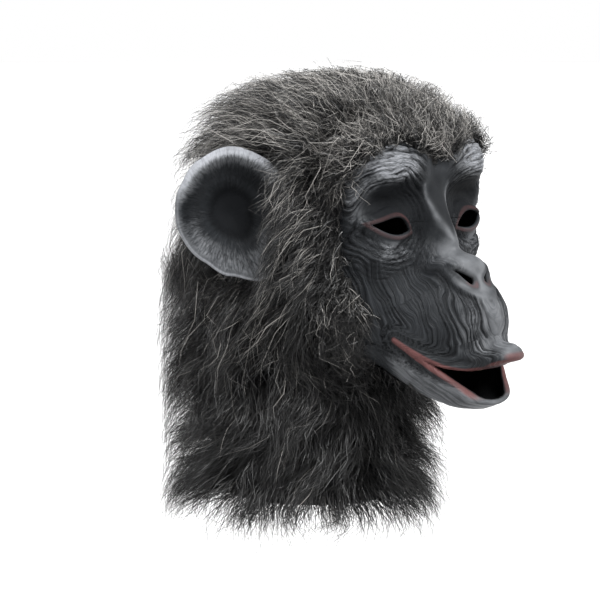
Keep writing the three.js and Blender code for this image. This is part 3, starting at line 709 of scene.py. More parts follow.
@dataclass
class CastEar:
    """One latex ear on a plane that leaves the head outward and back."""

    side: Side
    shape: HeadShape = field(default_factory=HeadShape)
    root: tuple[float, float, float] = (88.0, -8.0, 0.0)
    splay: float = 43.0
    hub: tuple[float, float] = (34.0, 0.0)
    reaches: tuple[float, ...] = (43.4, 46.5, 51, 55, 53, 50, 43, 50, 58, 48, 42, 41.7)
    shares: tuple[float, ...] = (0, 0.34, 0.62, 0.8, 0.92, 1)
    dishes: tuple[float, ...] = (-19, -15, -4.5, -2, 4.5, 2.5)
    thicks: tuple[float, ...] = (3, 3, 3, 3, 5, 6)
    columns: int = 200
    rings: int = 28

    def place(self, u: np.ndarray, v: np.ndarray, w: np.ndarray) -> np.ndarray:
        """Places in the face frame from places on the ear's plane and heights toward the face."""
        c, s = cos(radians(self.splay)), sin(radians(self.splay))
        cupped = w + 9 * np.maximum(0, (u - 30) / 48) ** 2
        x = self.root[0] + c * u + s * cupped
        f = self.root[1] - s * u + c * cupped
        return np.stack([self.side.value * x, f, self.root[2] + v], -1)

    def flat(self, points: np.ndarray) -> tuple[np.ndarray, np.ndarray, np.ndarray]:
        """The inverse of place, without the cupping."""
        c, s = cos(radians(self.splay)), sin(radians(self.splay))
        x, f = self.side.value * points[..., 0] - self.root[0], points[..., 1] - self.root[1]
        return c * x - s * f, points[..., 2] - self.root[2], s * x + c * f

    def edge(self, turn: np.ndarray) -> np.ndarray:
        """How far the ear's edge is from its hub in each direction."""
        place = np.mod(turn / radians(30), len(self.reaches))
        first = np.floor(place).astype(int) % len(self.reaches)
        share = smooth(place - np.floor(place), 0, 1)
        table = np.array(self.reaches)
        return table[first] + (table[(first + 1) % len(self.reaches)] - table[first]) * share

    def in_room(self, points: np.ndarray) -> np.ndarray:
        """Whether places lie in the room that the fur leaves free round the ear."""
        u, v, w = self.flat(points)
        reach = np.hypot(u - self.hub[0], v - self.hub[1])
        edge = self.edge(np.arctan2(v - self.hub[1], u - self.hub[0]))
        beside = np.where(w > 5, 17.0, 4.0) + 5 * np.sin(v / 5)
        behind = np.where(reach < 0.62 * edge, -27, -14)
        return (u > beside) & (reach < edge * (1 + 0.003 * np.maximum(w, 0)) + 1) & (w > behind) & (w < 70)

    def _profile(self, table: tuple[float, ...], share: np.ndarray) -> np.ndarray:
        """A rounded reading of one column of the ear's profile."""
        fine = np.linspace(0, 1, 101)
        straight = np.interp(fine, self.shares, table)
        kernel = np.hanning(11) / np.hanning(11).sum()
        return np.interp(share, fine, np.convolve(np.pad(straight, 5, mode="edge"), kernel, "valid"))

    def _face(self, front: bool) -> tuple[np.ndarray, np.ndarray]:
        """Points of one face of the ear, ring by ring from the hub, and their share of the way out."""
        share = np.linspace(0.02, 1, self.rings) ** 0.85
        turn = np.arange(self.columns) * 2 * pi / self.columns
        edge = self.edge(turn)
        share, turn = np.meshgrid(share, turn, indexing="ij")
        u = self.hub[0] + share * edge * np.cos(turn)
        v = self.hub[1] + share * edge * np.sin(turn)
        dish, thick = self._profile(self.dishes, share), self._profile(self.thicks, share)
        turned = np.cos(turn - radians(200))
        ridge = 3.2 * np.exp(-(((share - 0.55) / 0.1) ** 2)) * smooth(-turned, -0.2, 0.7)
        tragus = 6 * np.exp(-(((share - 0.72) / 0.12) ** 2)) * smooth(turned, 0.55, 0.95)
        rays = Grain(41).at(np.stack([turn * 10, share * 2.0, np.zeros_like(turn)], -1))
        rays = np.clip(1 - 2.4 * np.abs(rays), 0, 1) * 0.9
        rays = rays * smooth(share, 0.3, 0.5) * (1 - smooth(share, 0.88, 0.98))
        lobe = smooth(-np.sin(turn), -0.5, 0.5)
        brim = 2.6 * np.exp(-(((share - 0.86) / 0.1) ** 2)) * smooth(np.sin(turn), 0.1, 0.8)
        height = dish + ridge + tragus + brim - rays * (0.25 + 0.75 * lobe)
        roll = 1.2 * np.sin(turn * 3 + 1) * smooth(share, 0.8, 1)
        return self.place(u, v, height + roll if front else dish - thick + roll), share

    def sheet(self) -> tuple[Sheet, dict[str, np.ndarray]]:
        """The closed ear in triangles, and the values that its paint needs."""
        front, share = self._face(True)
        back, _ = self._face(False)
        rim = (front[-1] + back[-1]) / 2
        outward = unit(rim - self.place(np.array(self.hub[0]), np.array(self.hub[1]), np.array(0.0)))
        rim = rim + 2.2 * outward
        shoulder_front = front[-1] + 1.3 * outward
        shoulder_back = back[-1] + 1.3 * outward
        rings = [*front, shoulder_front, rim, shoulder_back, *back[::-1]]
        points = np.concatenate(rings)
        shares = np.concatenate([share.ravel(), np.ones(3 * self.columns), share[::-1].ravel()])
        count, n = len(rings), self.columns
        a = np.arange(count - 1)[:, None] * n + np.arange(n)[None, :]
        b = np.arange(count - 1)[:, None] * n + (np.arange(n)[None, :] + 1) % n
        faces = np.stack([a, b, b + n, a + n], -1).reshape(-1, 4)
        hubs = np.stack([front[0].mean(0), back[0].mean(0)])
        points = np.concatenate([points, hubs])
        shares = np.concatenate([shares, [0, 0]])
        first, last = np.arange(n), (count - 1) * n + np.arange(n)
        hub_front, hub_back = np.full(n, len(points) - 2), np.full(n, len(points) - 1)
        caps = np.concatenate([
            np.stack([hub_front, np.roll(first, -1), first], -1),
            np.stack([hub_back, last, np.roll(last, -1)], -1),
        ])
        if self.side is Side.RIGHT:
            faces = faces[:, ::-1]
            caps = caps[:, [0, 2, 1]]
        triangles = np.concatenate([faces[:, [0, 1, 2]], faces[:, [0, 2, 3]], caps])
        gap = self.shape.latex(points) - 0.4
        points = points + np.maximum(0, -gap)[:, None] * slope(self.shape.latex, points)
        return Sheet(points, triangles), self._marks(points, shares, len(front) * n)

    def _marks(self, points: np.ndarray, share: np.ndarray, front: int) -> dict[str, np.ndarray]:
        """What the paint needs to know at each point of the ear."""
        u, v, _ = self.flat(points)
        turn = np.arctan2(v - self.hub[1], u - self.hub[0])
        facing = (np.arange(len(points)) < front + self.columns * 2).astype(float)
        facing[-2] = 1
        lines = np.stack([turn * 9, share * 2.4, np.full(len(points), 7.0 * self.side.value)], -1)
        zero = np.zeros(len(points))
        # painted highlight: the ear grows lighter toward its top
        upper = smooth(v, -20, 12)
        high = smooth(v, 2, 30)
        # painted shade in the bowl and in the trough inside the rim
        concha = 1 - smooth(share, 0.36, 0.5)
        low = 1 - high
        trough = smooth(share, 0.5, 0.62) * (1 - smooth(share, 0.66 + 0.2 * low, 0.86 + 0.1 * low))
        concha = np.maximum(concha, 0.85 * upper * trough) * facing
        # light paint and painted highlight along the outer rim and the lower ear
        rim = 0.6 * smooth(share, 0.96, 1) + 0.62 * (1 - upper) * smooth(share, 0.5, 0.7)
        return {
            "rings": lines,
            "ring_share": facing * smooth(share, 0.2, 0.45) * (1 - 0.6 * smooth(share, 0.88, 0.97)),
            "folds": lines, "fold_share": zero, "pink": zero,
            "dark_paint_and_shade": concha,
            "raised": 1.25 * high * smooth(share, 0.6, 1) + low * rim,
            "crease": zero, "outer": np.ones(len(points)),
        }

    def build(self, finish: "LatexFinish") -> None:
        """Makes the dressed ear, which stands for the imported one."""
        sheet, marks = self.sheet()
        name = "cast_ear_left" if self.side is Side.LEFT else "cast_ear_right"
        piece = add_mesh(name, sheet, self.shape.face, marks)
        piece.data.materials.append(finish.dress())
        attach(piece, "root")
        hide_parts("ear_left" if self.side is Side.LEFT else "ear_right")
        log.info("%s: %d triangles", name, sheet.triangles())


@dataclass(frozen=True)
class PileShape:
    """How far the fur stands out: its outer form, and the hairline that it rises from."""

    shape: HeadShape = field(default_factory=HeadShape)
    cap_middle: tuple[float, float, float] = (0.0, -17.0, 5.0)
    cap_radii: tuple[float, float, float] = (113.0, 128.0, 110.0)
    cap_power: float = 2.7
    barrel_middle: float = -53.0
    barrel_radii: tuple[float, float] = (117.0, 121.0)
    barrel_top: float = -40.0
    barrel_taper: float = 0.008
    blend: float = 30.0
    edge: float = 2.5
    slope: float = 0.78
    rise: float = 1.7
    hairline_x: tuple[float, ...] = (0, 16, 34, 56, 74, 81, 82, 75, 68, 62, 48, 20, 0)
    hairline_z: tuple[float, ...] = (44, 50, 62, 60, 42, 20, -10, -36, -60, -100, -126, -146, -150)
    hairline_f: float = 60.0

    def outside(self, points: np.ndarray) -> np.ndarray:
        """How far places are outside the fur's outer form."""
        x, f, z = points.T
        shares = [np.abs(value - middle) / radius for value, middle, radius in zip(
            (x, f, z), self.cap_middle, self.cap_radii)]
        cap = sum(share**self.cap_power for share in shares) ** (1 / self.cap_power)
        cap = (cap - 1) * self.cap_radii[2]
        wide, deep = self.barrel_radii
        barrel = (np.hypot(x / wide, (f - self.barrel_middle) / deep) - 1) * wide
        barrel = barrel + self.barrel_taper * np.maximum(0, z - self.barrel_top) ** 2
        return soft_union(cap, barrel, self.blend)

    def past_hairline(self, points: np.ndarray) -> np.ndarray:
        """How far places are beyond the hairline; less than nothing on the bare face."""
        x, f, z = np.abs(points[:, 0]), points[:, 1], points[:, 2]
        line = np.stack([np.array(self.hairline_x, float), np.array(self.hairline_z, float)], -1)
        nearest = np.full(len(points), 1e9)
        bare = np.zeros(len(points), bool)
        for (ax, az), (bx, bz) in zip(line[:-1], line[1:]):
            _, dx, dz = off_line(x, z, (ax, az), (bx, bz))
            nearest = np.minimum(nearest, np.hypot(dx, dz))
            bare ^= ((az > z) != (bz > z)) & (x < ax + (bx - ax) * (z - az) / (bz - az))
        behind = self.hairline_f - f
        past = np.where(bare, np.maximum(behind, -nearest), nearest)
        return np.where(f < self.hairline_f, np.hypot(np.where(bare, 0, nearest), behind), past)

    def spill(self, points: np.ndarray) -> np.ndarray:
        """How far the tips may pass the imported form, most at the upper back."""
        high = smooth(points[:, 2], -20, 40) * (1 - 0.9 * smooth(points[:, 2], 66, 98))
        nape = smooth(-points[:, 2], 10, 50) * smooth(-points[:, 1], -10, 60)
        crest = 9 * high * smooth(-points[:, 1], -30, 40)
        return 2 + 3 * (1 - smooth(points[:, 2], 66, 98)) + crest + 4 * nape

    def room(self, roots: np.ndarray, outward: np.ndarray) -> np.ndarray:
        """How deep the fur is over its roots, in mm."""
        steps = np.arange(2, 76, 3.0)
        deep, spill = np.zeros(len(roots)), self.spill(roots)
        for step in steps:
            inside = self.outside(roots + step * outward) < spill
            deep = np.where(inside & (deep > step - 4), step, deep)
        steepness = self.slope + (self.rise - self.slope) * np.clip((roots[:, 2] - 25) / 35, 0, 1)
        return np.minimum(np.maximum(deep, 4), self.edge + steepness * self.past_hairline(roots))


class Panel(Enum):
    """The five panels that the fur is sewn from."""

    CROWN = "fur_crown"
    LEFT = "fur_side_left"
    RIGHT = "fur_side_right"
    BACK = "fur_back"
    THROAT = "fur_throat"


@dataclass(frozen=True)
class PileCut:
    """How the fur is shared out between its panels."""

    pile: PileShape = field(default_factory=PileShape)
    crown_height: float = 44.0
    crown_fall: float = 0.14
    throat_turn: float = 40.0
    throat_top: float = -116.0
    back_turn: float = 128.0

    def owner(self, points: np.ndarray) -> np.ndarray:
        """Which panel each place belongs to, as a place in the list of panels."""
        x, f, z = points.T
        turn = np.degrees(np.arctan2(x, f - self.pile.barrel_middle))
        panels = list(Panel)
        owner = np.where(x > 0, panels.index(Panel.LEFT), panels.index(Panel.RIGHT))
        owner = np.where(np.abs(turn) > self.back_turn, panels.index(Panel.BACK), owner)
        low = (np.abs(turn) < self.throat_turn) & (z < self.throat_top)
        owner = np.where(low, panels.index(Panel.THROAT), owner)
        return np.where(z > self.crown_height - self.crown_fall * f, panels.index(Panel.CROWN), owner)


@dataclass
class FauxFur:
    """Long faux fur: a dark matted backing and locks of tapered hairs combed over the head."""

    pile: PileShape = field(default_factory=PileShape)
    cut: PileCut = field(default_factory=PileCut)
    ears: tuple[CastEar, ...] = ()
    seed: int = 20
    guides: int = 5200
    hairs: int = 78000
    rings: int = 6
    root_width: float = 0.62
    tip_width: float = 0.14
    hem: float = -277.0
    lowest: float = -286.0
    root_low: float = -246.0
    backing_lift: float = 1.6
    backing_step: float = 5.0

    def backing(self) -> Sheet:
        """The cloth under the hairs, on the latex wherever the fur grows."""
        net = Net((-90, -130, self.root_low - 8), (90, 110, 108), self.backing_step)
        rule = self.pile.shape.latex
        sheet = net.sheet(lambda points: rule(points) - self.backing_lift)
        for _ in range(2):
            lift = 0.5 + (self.backing_lift - 0.5) * smooth(self.pile.past_hairline(sheet.points), 2, 18)
            sheet.points = sheet.points - (rule(sheet.points) - lift)[:, None] * slope(rule, sheet.points)
        middle = sheet.middles()
        grown = (self.pile.past_hairline(middle) > 1.5) & (middle[:, 2] > self.root_low)
        for ear in self.ears:
            u, v, w = ear.flat(middle)
            grown &= ~((np.hypot(u - 8, v) < 24) & (middle[:, 0] * ear.side.value > 0) & (np.abs(w) < 22))
        return sheet.kept(grown)

    def comb(self, points: np.ndarray) -> np.ndarray:
        """The way that the hairs are combed at each place, before it is laid along the head."""
        x, f, z = points.T
        side = np.clip(x / 80, -1, 1)
        crown = smooth(z, 12, 62)
        rear = smooth(-f, 20, 90)
        over = np.stack([0.75 * side, -1.0 + 0.5 * rear, 0.9 * smooth(f, -10, 60) - 1.2 * rear], -1)
        fringe = smooth(f, 20, 55) * (1 - crown)
        back = 0.42 - 0.34 * smooth(-z, 50, 140)
        sideways, forward = 0.25 * side * (1 - rear), (0.5 * fringe - back) * (1 - rear)
        down = np.stack([sideways, forward, np.full(len(x), -1.0)], -1)
        swirl = np.stack([Grain(seed).at(points / 24) for seed in (51, 52, 53)], -1)
        eddy = np.stack([Grain(seed).at(points / 10) for seed in (54, 55, 56)], -1)
        return unit(over * crown[:, None] + down * (1 - crown)[:, None]) + 0.62 * swirl + 0.5 * eddy

    def guide_paths(self, cloth: Sheet, draw: np.random.Generator) -> "Guides":
        """Lays the middle of each lock along the head.

        Args:
            cloth: the backing that the locks grow from.
            draw: the seeded source of chance.

        Returns:
            The locks' paths, depths and places.
        """
        corners = cloth.points[cloth.faces]
        area = np.linalg.norm(np.cross(corners[:, 1] - corners[:, 0], corners[:, 3] - corners[:, 0]), axis=1)
        middle = corners.mean(1)
        hidden = smooth(-middle[:, 2], 150, 175) * (1 - smooth(-middle[:, 2], 215, 240))
        weight = area * (1.0 + 0.24 * smooth(middle[:, 2], 0, 60) - 0.45 * hidden)
        weight = weight * (1 + 0.8 * (1 - smooth(self.pile.past_hairline(middle), 6, 26)))
        pick = draw.choice(len(weight), self.guides, p=weight / weight.sum())
        mix = draw.random((self.guides, 2))
        a, b = mix[:, :1], mix[:, 1:]
        c = corners[pick]
        root = (1 - a) * (1 - b) * c[:, 0] + a * (1 - b) * c[:, 1] + a * b * c[:, 2] + (1 - a) * b * c[:, 3]
        rule = self.pile.shape.latex
        normal = slope(rule, root)
        past = self.pile.past_hairline(root)
        f, z = root.T[1:]
        crown = smooth(z, 20, 60)
        length = 26 + 52 * smooth(past, 4, 60)
        length = length * (1 - 0.28 * crown) * (0.72 + 0.5 * draw.random(self.guides))
        length = np.minimum(length, np.maximum(16, (z - self.hem) * 1.15 + 14 * draw.random(self.guides)))
        room = self.pile.room(root, normal)
        lift = draw.random(self.guides)
        lift = np.where(draw.random(self.guides) < 0.62, 0.62 + 0.38 * lift, 0.2 + 0.45 * lift)
        full = smooth(-f, 20, 90) * smooth(-z, -30, 10)
        lift = np.where(lift > 0.6, 1 - (1 - lift) * (1 - 0.75 * full), lift + 0.2 * full)
        steps = 8
        place, along, depth = root.copy(), [root], [np.zeros(self.guides)]
        for step in range(1, steps + 1):
            way = self.comb(place)
            out = slope(rule, place)
            way = unit(way - (way * out).sum(-1, keepdims=True) * out)
            share = step / steps
            forward = length * np.diff([1 - (1 - (step - 1) / steps) ** 0.9, 1 - (1 - share) ** 0.9])[0]
            place = place + way * (forward * (0.4 + 0.6 * share))[:, None]
            place = place - (rule(place) - self.backing_lift)[:, None] * slope(rule, place)
            along.append(place)
            rear = smooth(-place[:, 1], 60, 105)
            reach = np.minimum(self.pile.room(place, slope(rule, place)), room + 5 + 6 * rear)
            room = np.maximum(room, reach)
            depth.append(room * lift * (1 - (1 - share) ** (1.9 + 0.9 * full)))
        path = [point + high[:, None] * slope(rule, point) for point, high in zip(along, depth)]
        # partly painted highlight: the hair is greyer toward the crown and darker low down
        grey = crown - 0.55 * smooth(-z, 70, 150)
        return Guides(np.stack(path, 1), normal, draw.random(self.guides), grey)

    def ribbons(self, guides: "Guides", draw: np.random.Generator) -> "Hairs":
        """Splits each lock into hairs, each a ribbon that tapers to its tip.

        Args:
            guides: the locks.
            draw: the seeded source of chance.

        Returns:
            The hairs' edges, ring by ring, and what their dye needs to know.
        """
        count = self.hairs
        owner = draw.integers(0, len(guides.path), count)
        path = guides.path[owner]
        normal = guides.normal[owner]
        reach = 0.55 + 0.5 * draw.random(count)
        stray = draw.random(count) < 0.1
        reach = np.where(stray, reach * 1.15, reach)
        share = np.linspace(0, 1, self.rings)[None, :] * reach[:, None]
        place = np.clip(share, 0, 0.9999) * (path.shape[1] - 1)
        first = np.floor(place).astype(int)
        part = (place - first)[..., None]
        rows = np.arange(count)[:, None]
        middle = path[rows, first] * (1 - part) + path[rows, np.minimum(first + 1, path.shape[1] - 1)] * part
        over = np.maximum(0, share - 0.9999)[..., None]
        over = over * (path[:, -1:] - path[:, -2:-1]) * (path.shape[1] - 1)
        middle = middle + over
        across = unit(np.cross(path[:, 4] - path[:, 0], normal))
        ahead = np.cross(normal, across)
        spread = 6.5 * np.sqrt(draw.random(count))
        turn = draw.random(count) * 2 * pi
        offset = across * (spread * np.cos(turn))[:, None] + ahead * (spread * np.sin(turn))[:, None]
        gather = 1 - 0.5 * share**1.2
        gather = np.where(stray[:, None], 1 + share, gather)
        middle = middle + offset[:, None] * gather[..., None]
        frizz = (2.0 + 1.7 * np.maximum(guides.grey[owner], 0)) * (0.4 + 1.4 * draw.random(count) ** 1.5)
        waves = draw.normal(size=(count, 3, 3))
        phase = share[..., None] * np.array([4.4, 8.4, 13.0])
        bend = np.einsum("nsk,nkc->nsc", np.sin(phase) * np.array([2.4, 1.5, 0.9]), waves)
        middle = middle + bend * (frizz[:, None] * share)[..., None]
        splay = draw.normal(size=(count, 3)) * 8
        middle = middle + splay[:, None] * (share**1.2)[..., None]
        lift = draw.normal(size=count) * 1.6
        middle = middle + normal[:, None] * (lift[:, None] * share)[..., None]
        loose = 9 * draw.random(count) ** 1.6 + np.where(stray, 5.0, 0.0)
        middle = self._held_in(middle, loose)
        return Hairs(middle, normal, share, guides.tone[owner], draw.random(count), guides.grey[owner],
                     draw.random(count))

    def _held_in(self, middle: np.ndarray, loose: np.ndarray) -> np.ndarray:
        """Keeps hairs inside the fur's outer form, above the latex and above the hem."""
        count, rings, _ = middle.shape
        flat = middle.reshape(-1, 3)
        easing = np.tile(np.linspace(0.3, 1, rings), count)
        allowed = self.pile.spill(flat) - 2 + np.repeat(loose, rings) * easing
        over = self.pile.outside(flat) - allowed
        flat = flat - np.maximum(0, over)[:, None] * slope(self.pile.outside, flat)
        rule = self.pile.shape.latex
        share = np.tile(np.linspace(0, 1, rings), count)
        under = self.backing_lift * 0.7 + 0.8 * share - rule(flat)
        flat = flat + np.maximum(0, under)[:, None] * slope(rule, flat)
        flat[:, 2] = np.maximum(flat[:, 2], self.lowest)
        return flat.reshape(middle.shape)

    def kept(self, hairs: "Hairs") -> np.ndarray:
        """Which hairs stay clear of the ears and of the bare face."""
        clear = np.ones(len(hairs.middle), bool)
        for ear in self.ears:
            for ring in range(self.rings):
                here, before = hairs.middle[:, ring], hairs.middle[:, max(ring - 1, 0)]
                clear &= ~ear.in_room(here) & ~ear.in_room((here + before) / 2)
        tip = hairs.middle[:, -1]
        over_face = (self.pile.past_hairline(tip) < -9) & (tip[:, 1] > self.pile.hairline_f - 12)
        return clear & ~over_face

    def build(self, finish: "FurFinish", cloth_finish: "BackingFinish") -> None:
        """Makes the five dressed panels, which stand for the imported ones."""
        draw = np.random.default_rng(self.seed)
        cloth = self.backing()
        hairs = self.ribbons(self.guide_paths(cloth, draw), draw)
        hairs = hairs.chosen(self.kept(hairs))
        hair_owner = self.cut.owner(hairs.middle[:, 0])
        cloth_owner = self.cut.owner(cloth.middles())
        for index, panel in enumerate(Panel):
            own = hairs.chosen(hair_owner == index)
            strands, tone, along, grey = own.sheet(self.root_width, self.tip_width)
            mat = cloth.kept(cloth_owner == index)
            mat.faces = mat.faces[:, [0, 1, 2, 0, 2, 3]].reshape(-1, 3)
            sheet = joined([strands, mat])
            blank = np.zeros(len(mat.points))
            marks = {
                "tone": np.concatenate([tone, blank]), "along": np.concatenate([along, blank]),
                "grey": np.concatenate([grey, blank]),
            }
            piece = add_mesh(panel.value + "_pile", sheet, self.pile.shape.face, marks)
            piece.data.materials.append(finish.dress())
            piece.data.materials.append(cloth_finish.dress())
            which = np.zeros(len(sheet.faces), np.int32)
            which[len(strands.faces):] = 1
            piece.data.polygons.foreach_set("material_index", which)
            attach(piece, "root")
            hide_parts(panel.value)
            log.info("%s: %d triangles", piece.name, sheet.triangles())


@dataclass
class Guides:
    """The middles of the locks: their paths, and what is known of each at its root."""

    path: np.ndarray
    normal: np.ndarray
    tone: np.ndarray
    grey: np.ndarray


@dataclass
class Hairs:
    """Single hairs as lines of points, with what their dye needs to know."""

    middle: np.ndarray
    normal: np.ndarray
    share: np.ndarray
    lock_tone: np.ndarray
    tone: np.ndarray
    grey: np.ndarray
    twist: np.ndarray

    def chosen(self, wanted: np.ndarray) -> "Hairs":
        """The hairs asked for."""
        return Hairs(*[getattr(self, name)[wanted] for name in self.__dataclass_fields__])

    def sheet(self, root_width: float, tip_width: float) -> tuple[Sheet, np.ndarray, np.ndarray, np.ndarray]:
        """Makes the ribbons.

        Args:
            root_width: a hair's width at its root, in mm.
            tip_width: its width near the tip.

        Returns:
            The triangles, and each point's tone, place along its hair and greyness.
        """
        count, rings, _ = self.middle.shape
        line = unit(np.gradient(self.middle, axis=1))
        flat = unit(np.cross(line, self.normal[:, None]))
        tall = np.cross(line, flat)
        tilt = ((self.twist - 0.5) * 2.0)[:, None, None]
        side = flat * np.cos(tilt) + tall * np.sin(tilt)
        width = np.linspace(root_width, tip_width, rings)[None, :, None] / 2
        left, right = self.middle + side * width, self.middle - side * width
        points = np.concatenate([left[:, :-1], right[:, :-1], self.middle[:, -1:]], axis=1)
        body = rings - 1
        faces = []
        for ring in range(body - 1):
            faces += [[ring, ring + 1, body + ring + 1], [ring, body + ring + 1, body + ring]]
        faces.append([body - 1, 2 * body, 2 * body - 1])
        faces = (np.array(faces)[None] + (np.arange(count) * (2 * body + 1))[:, None, None]).reshape(-1, 3)
        tone = np.repeat(0.3 * self.lock_tone + 0.7 * self.tone, 2 * body + 1)
        along = np.concatenate([self.share[:, :-1], self.share[:, :-1], self.share[:, -1:]], axis=1).ravel()
        grey = np.repeat(self.grey, 2 * body + 1)
        return Sheet(points.reshape(-1, 3), faces), tone, along, grey


class Wire:
    """A node's output, on which Python's operators add the node that does the sum."""

    def __init__(self, kit: "ShaderKit", socket: bpy.types.NodeSocket | None) -> None:
        self.kit = kit
        self.socket = socket

    def _sum(self, operation: str, first: "Wire | float", second: "Wire | float") -> "Wire":
        """The Math node for one operation on two values."""
        return self.kit.node("ShaderNodeMath", {"operation": operation}, {0: first, 1: second})

    def __add__(self, other: "Wire | float") -> "Wire":
        """This value and another together."""
        return self._sum("ADD", self, other)

    def __sub__(self, other: "Wire | float") -> "Wire":
        """This value less another."""
        return self._sum("SUBTRACT", self, other)

    def __rsub__(self, other: "Wire | float") -> "Wire":
        """Another value less this one."""
        return self._sum("SUBTRACT", other, self)

    def __mul__(self, other: "Wire | float") -> "Wire":
        """This value times another."""
        return self._sum("MULTIPLY", self, other)

    def __pow__(self, other: "Wire | float") -> "Wire":
        """This value to a power."""
        return self._sum("POWER", self, other)

    __radd__ = __add__
    __rmul__ = __mul__

    def capped(self) -> "Wire":
        """This value held between 0 and 1."""
        return self.kit.node("ShaderNodeClamp", {}, {0: self})

    def ramp(self, low: float, high: float) -> "Wire":
        """Rises softly from 0 at low to 1 at high."""
        settings = {"interpolation_type": "SMOOTHSTEP"}
        return self.kit.node("ShaderNodeMapRange", settings, {0: self, 1: low, 2: high})


Value = Wire | float | tuple[float, ...]


class ShaderKit:
    """Makes the nodes of one material, or of the world."""

    def __init__(self, holder: bpy.types.Material | bpy.types.World) -> None:
        """Empties the holder's tree of nodes."""
        self.holder = holder
        holder.use_nodes = True
        self.tree = holder.node_tree
        self.tree.nodes.clear()

    def node(
        self, kind: str, settings: dict[str, object], values: dict[int | str, Value],
        out: int | str | None = 0,
    ) -> Wire:
        """Adds a node.

        Args:
            kind: the node's type.
            settings: what is set on the node itself.
            values: numbers or wires for its inputs, by place or name.
            out: the output that is wanted, or None for a node that ends the tree.

        Returns:
            That output.
        """
        made = self.tree.nodes.new(kind)
        for key, value in settings.items():
            setattr(made, key, value)
        for key, value in values.items():
            if isinstance(value, Wire):
                self.tree.links.new(value.socket, made.inputs[key])
            else:
                made.inputs[key].default_value = value
        return Wire(self, None if out is None else made.outputs[out])

    def mark(self, name: str) -> Wire:
        """A number kept on the mesh's points."""
        return self.node("ShaderNodeAttribute", {"attribute_name": name}, {}, "Fac")

    def lines(self, name: str) -> Wire:
        """Three numbers kept on the mesh's points."""
        return self.node("ShaderNodeAttribute", {"attribute_name": name}, {}, "Vector")

    def place(self) -> Wire:
        """The place on the piece, in metres."""
        return self.node("ShaderNodeTexCoord", {}, {}, "Object")

    def grain(self, where: Wire, scale: float, detail: float = 2.0, rough: float = 0.5) -> Wire:
        """Cloudy noise between 0 and 1."""
        values = {"Vector": where, "Scale": scale, "Detail": detail, "Roughness": rough}
        return self.node("ShaderNodeTexNoise", {}, values, "Fac")

    def colour(self, share: Value, first: Value, second: Value) -> Wire:
        """Goes from the first colour to the second."""
        return self.node("ShaderNodeMix", {"data_type": "RGBA"}, {0: share, 6: first, 7: second}, 2)

    def bump(self, height: Wire, depth: float) -> Wire:
        """A surface normal tilted by a height between 0 and 1, which stands for a depth in metres."""
        return self.node("ShaderNodeBump", {}, {"Height": height, "Distance": depth, "Strength": 1.0})

    def surface(self, values: dict[int | str, Value]) -> bpy.types.Material:
        """Ends the material in a surface with these values."""
        shader = self.node("ShaderNodeBsdfPrincipled", {}, values)
        self.node("ShaderNodeOutputMaterial", {}, {"Surface": shader}, None)
        return self.holder


def tint(red: float, green: float, blue: float) -> tuple[float, float, float, float]:
    """A solid colour in linear light."""
    return (red, green, blue, 1.0)


@dataclass(frozen=True)
class Finish:
    """A finish whose material is made once and then shared."""

    name: str

    def dress(self) -> bpy.types.Material:
        """The material, made the first time that it is asked for."""
        made = bpy.data.materials.get(self.name)
        return made or self.paint(ShaderKit(bpy.data.materials.new(self.name)))

    def paint(self, kit: ShaderKit) -> bpy.types.Material:
        """Makes the nodes; each finish has its own."""
        raise NotImplementedError


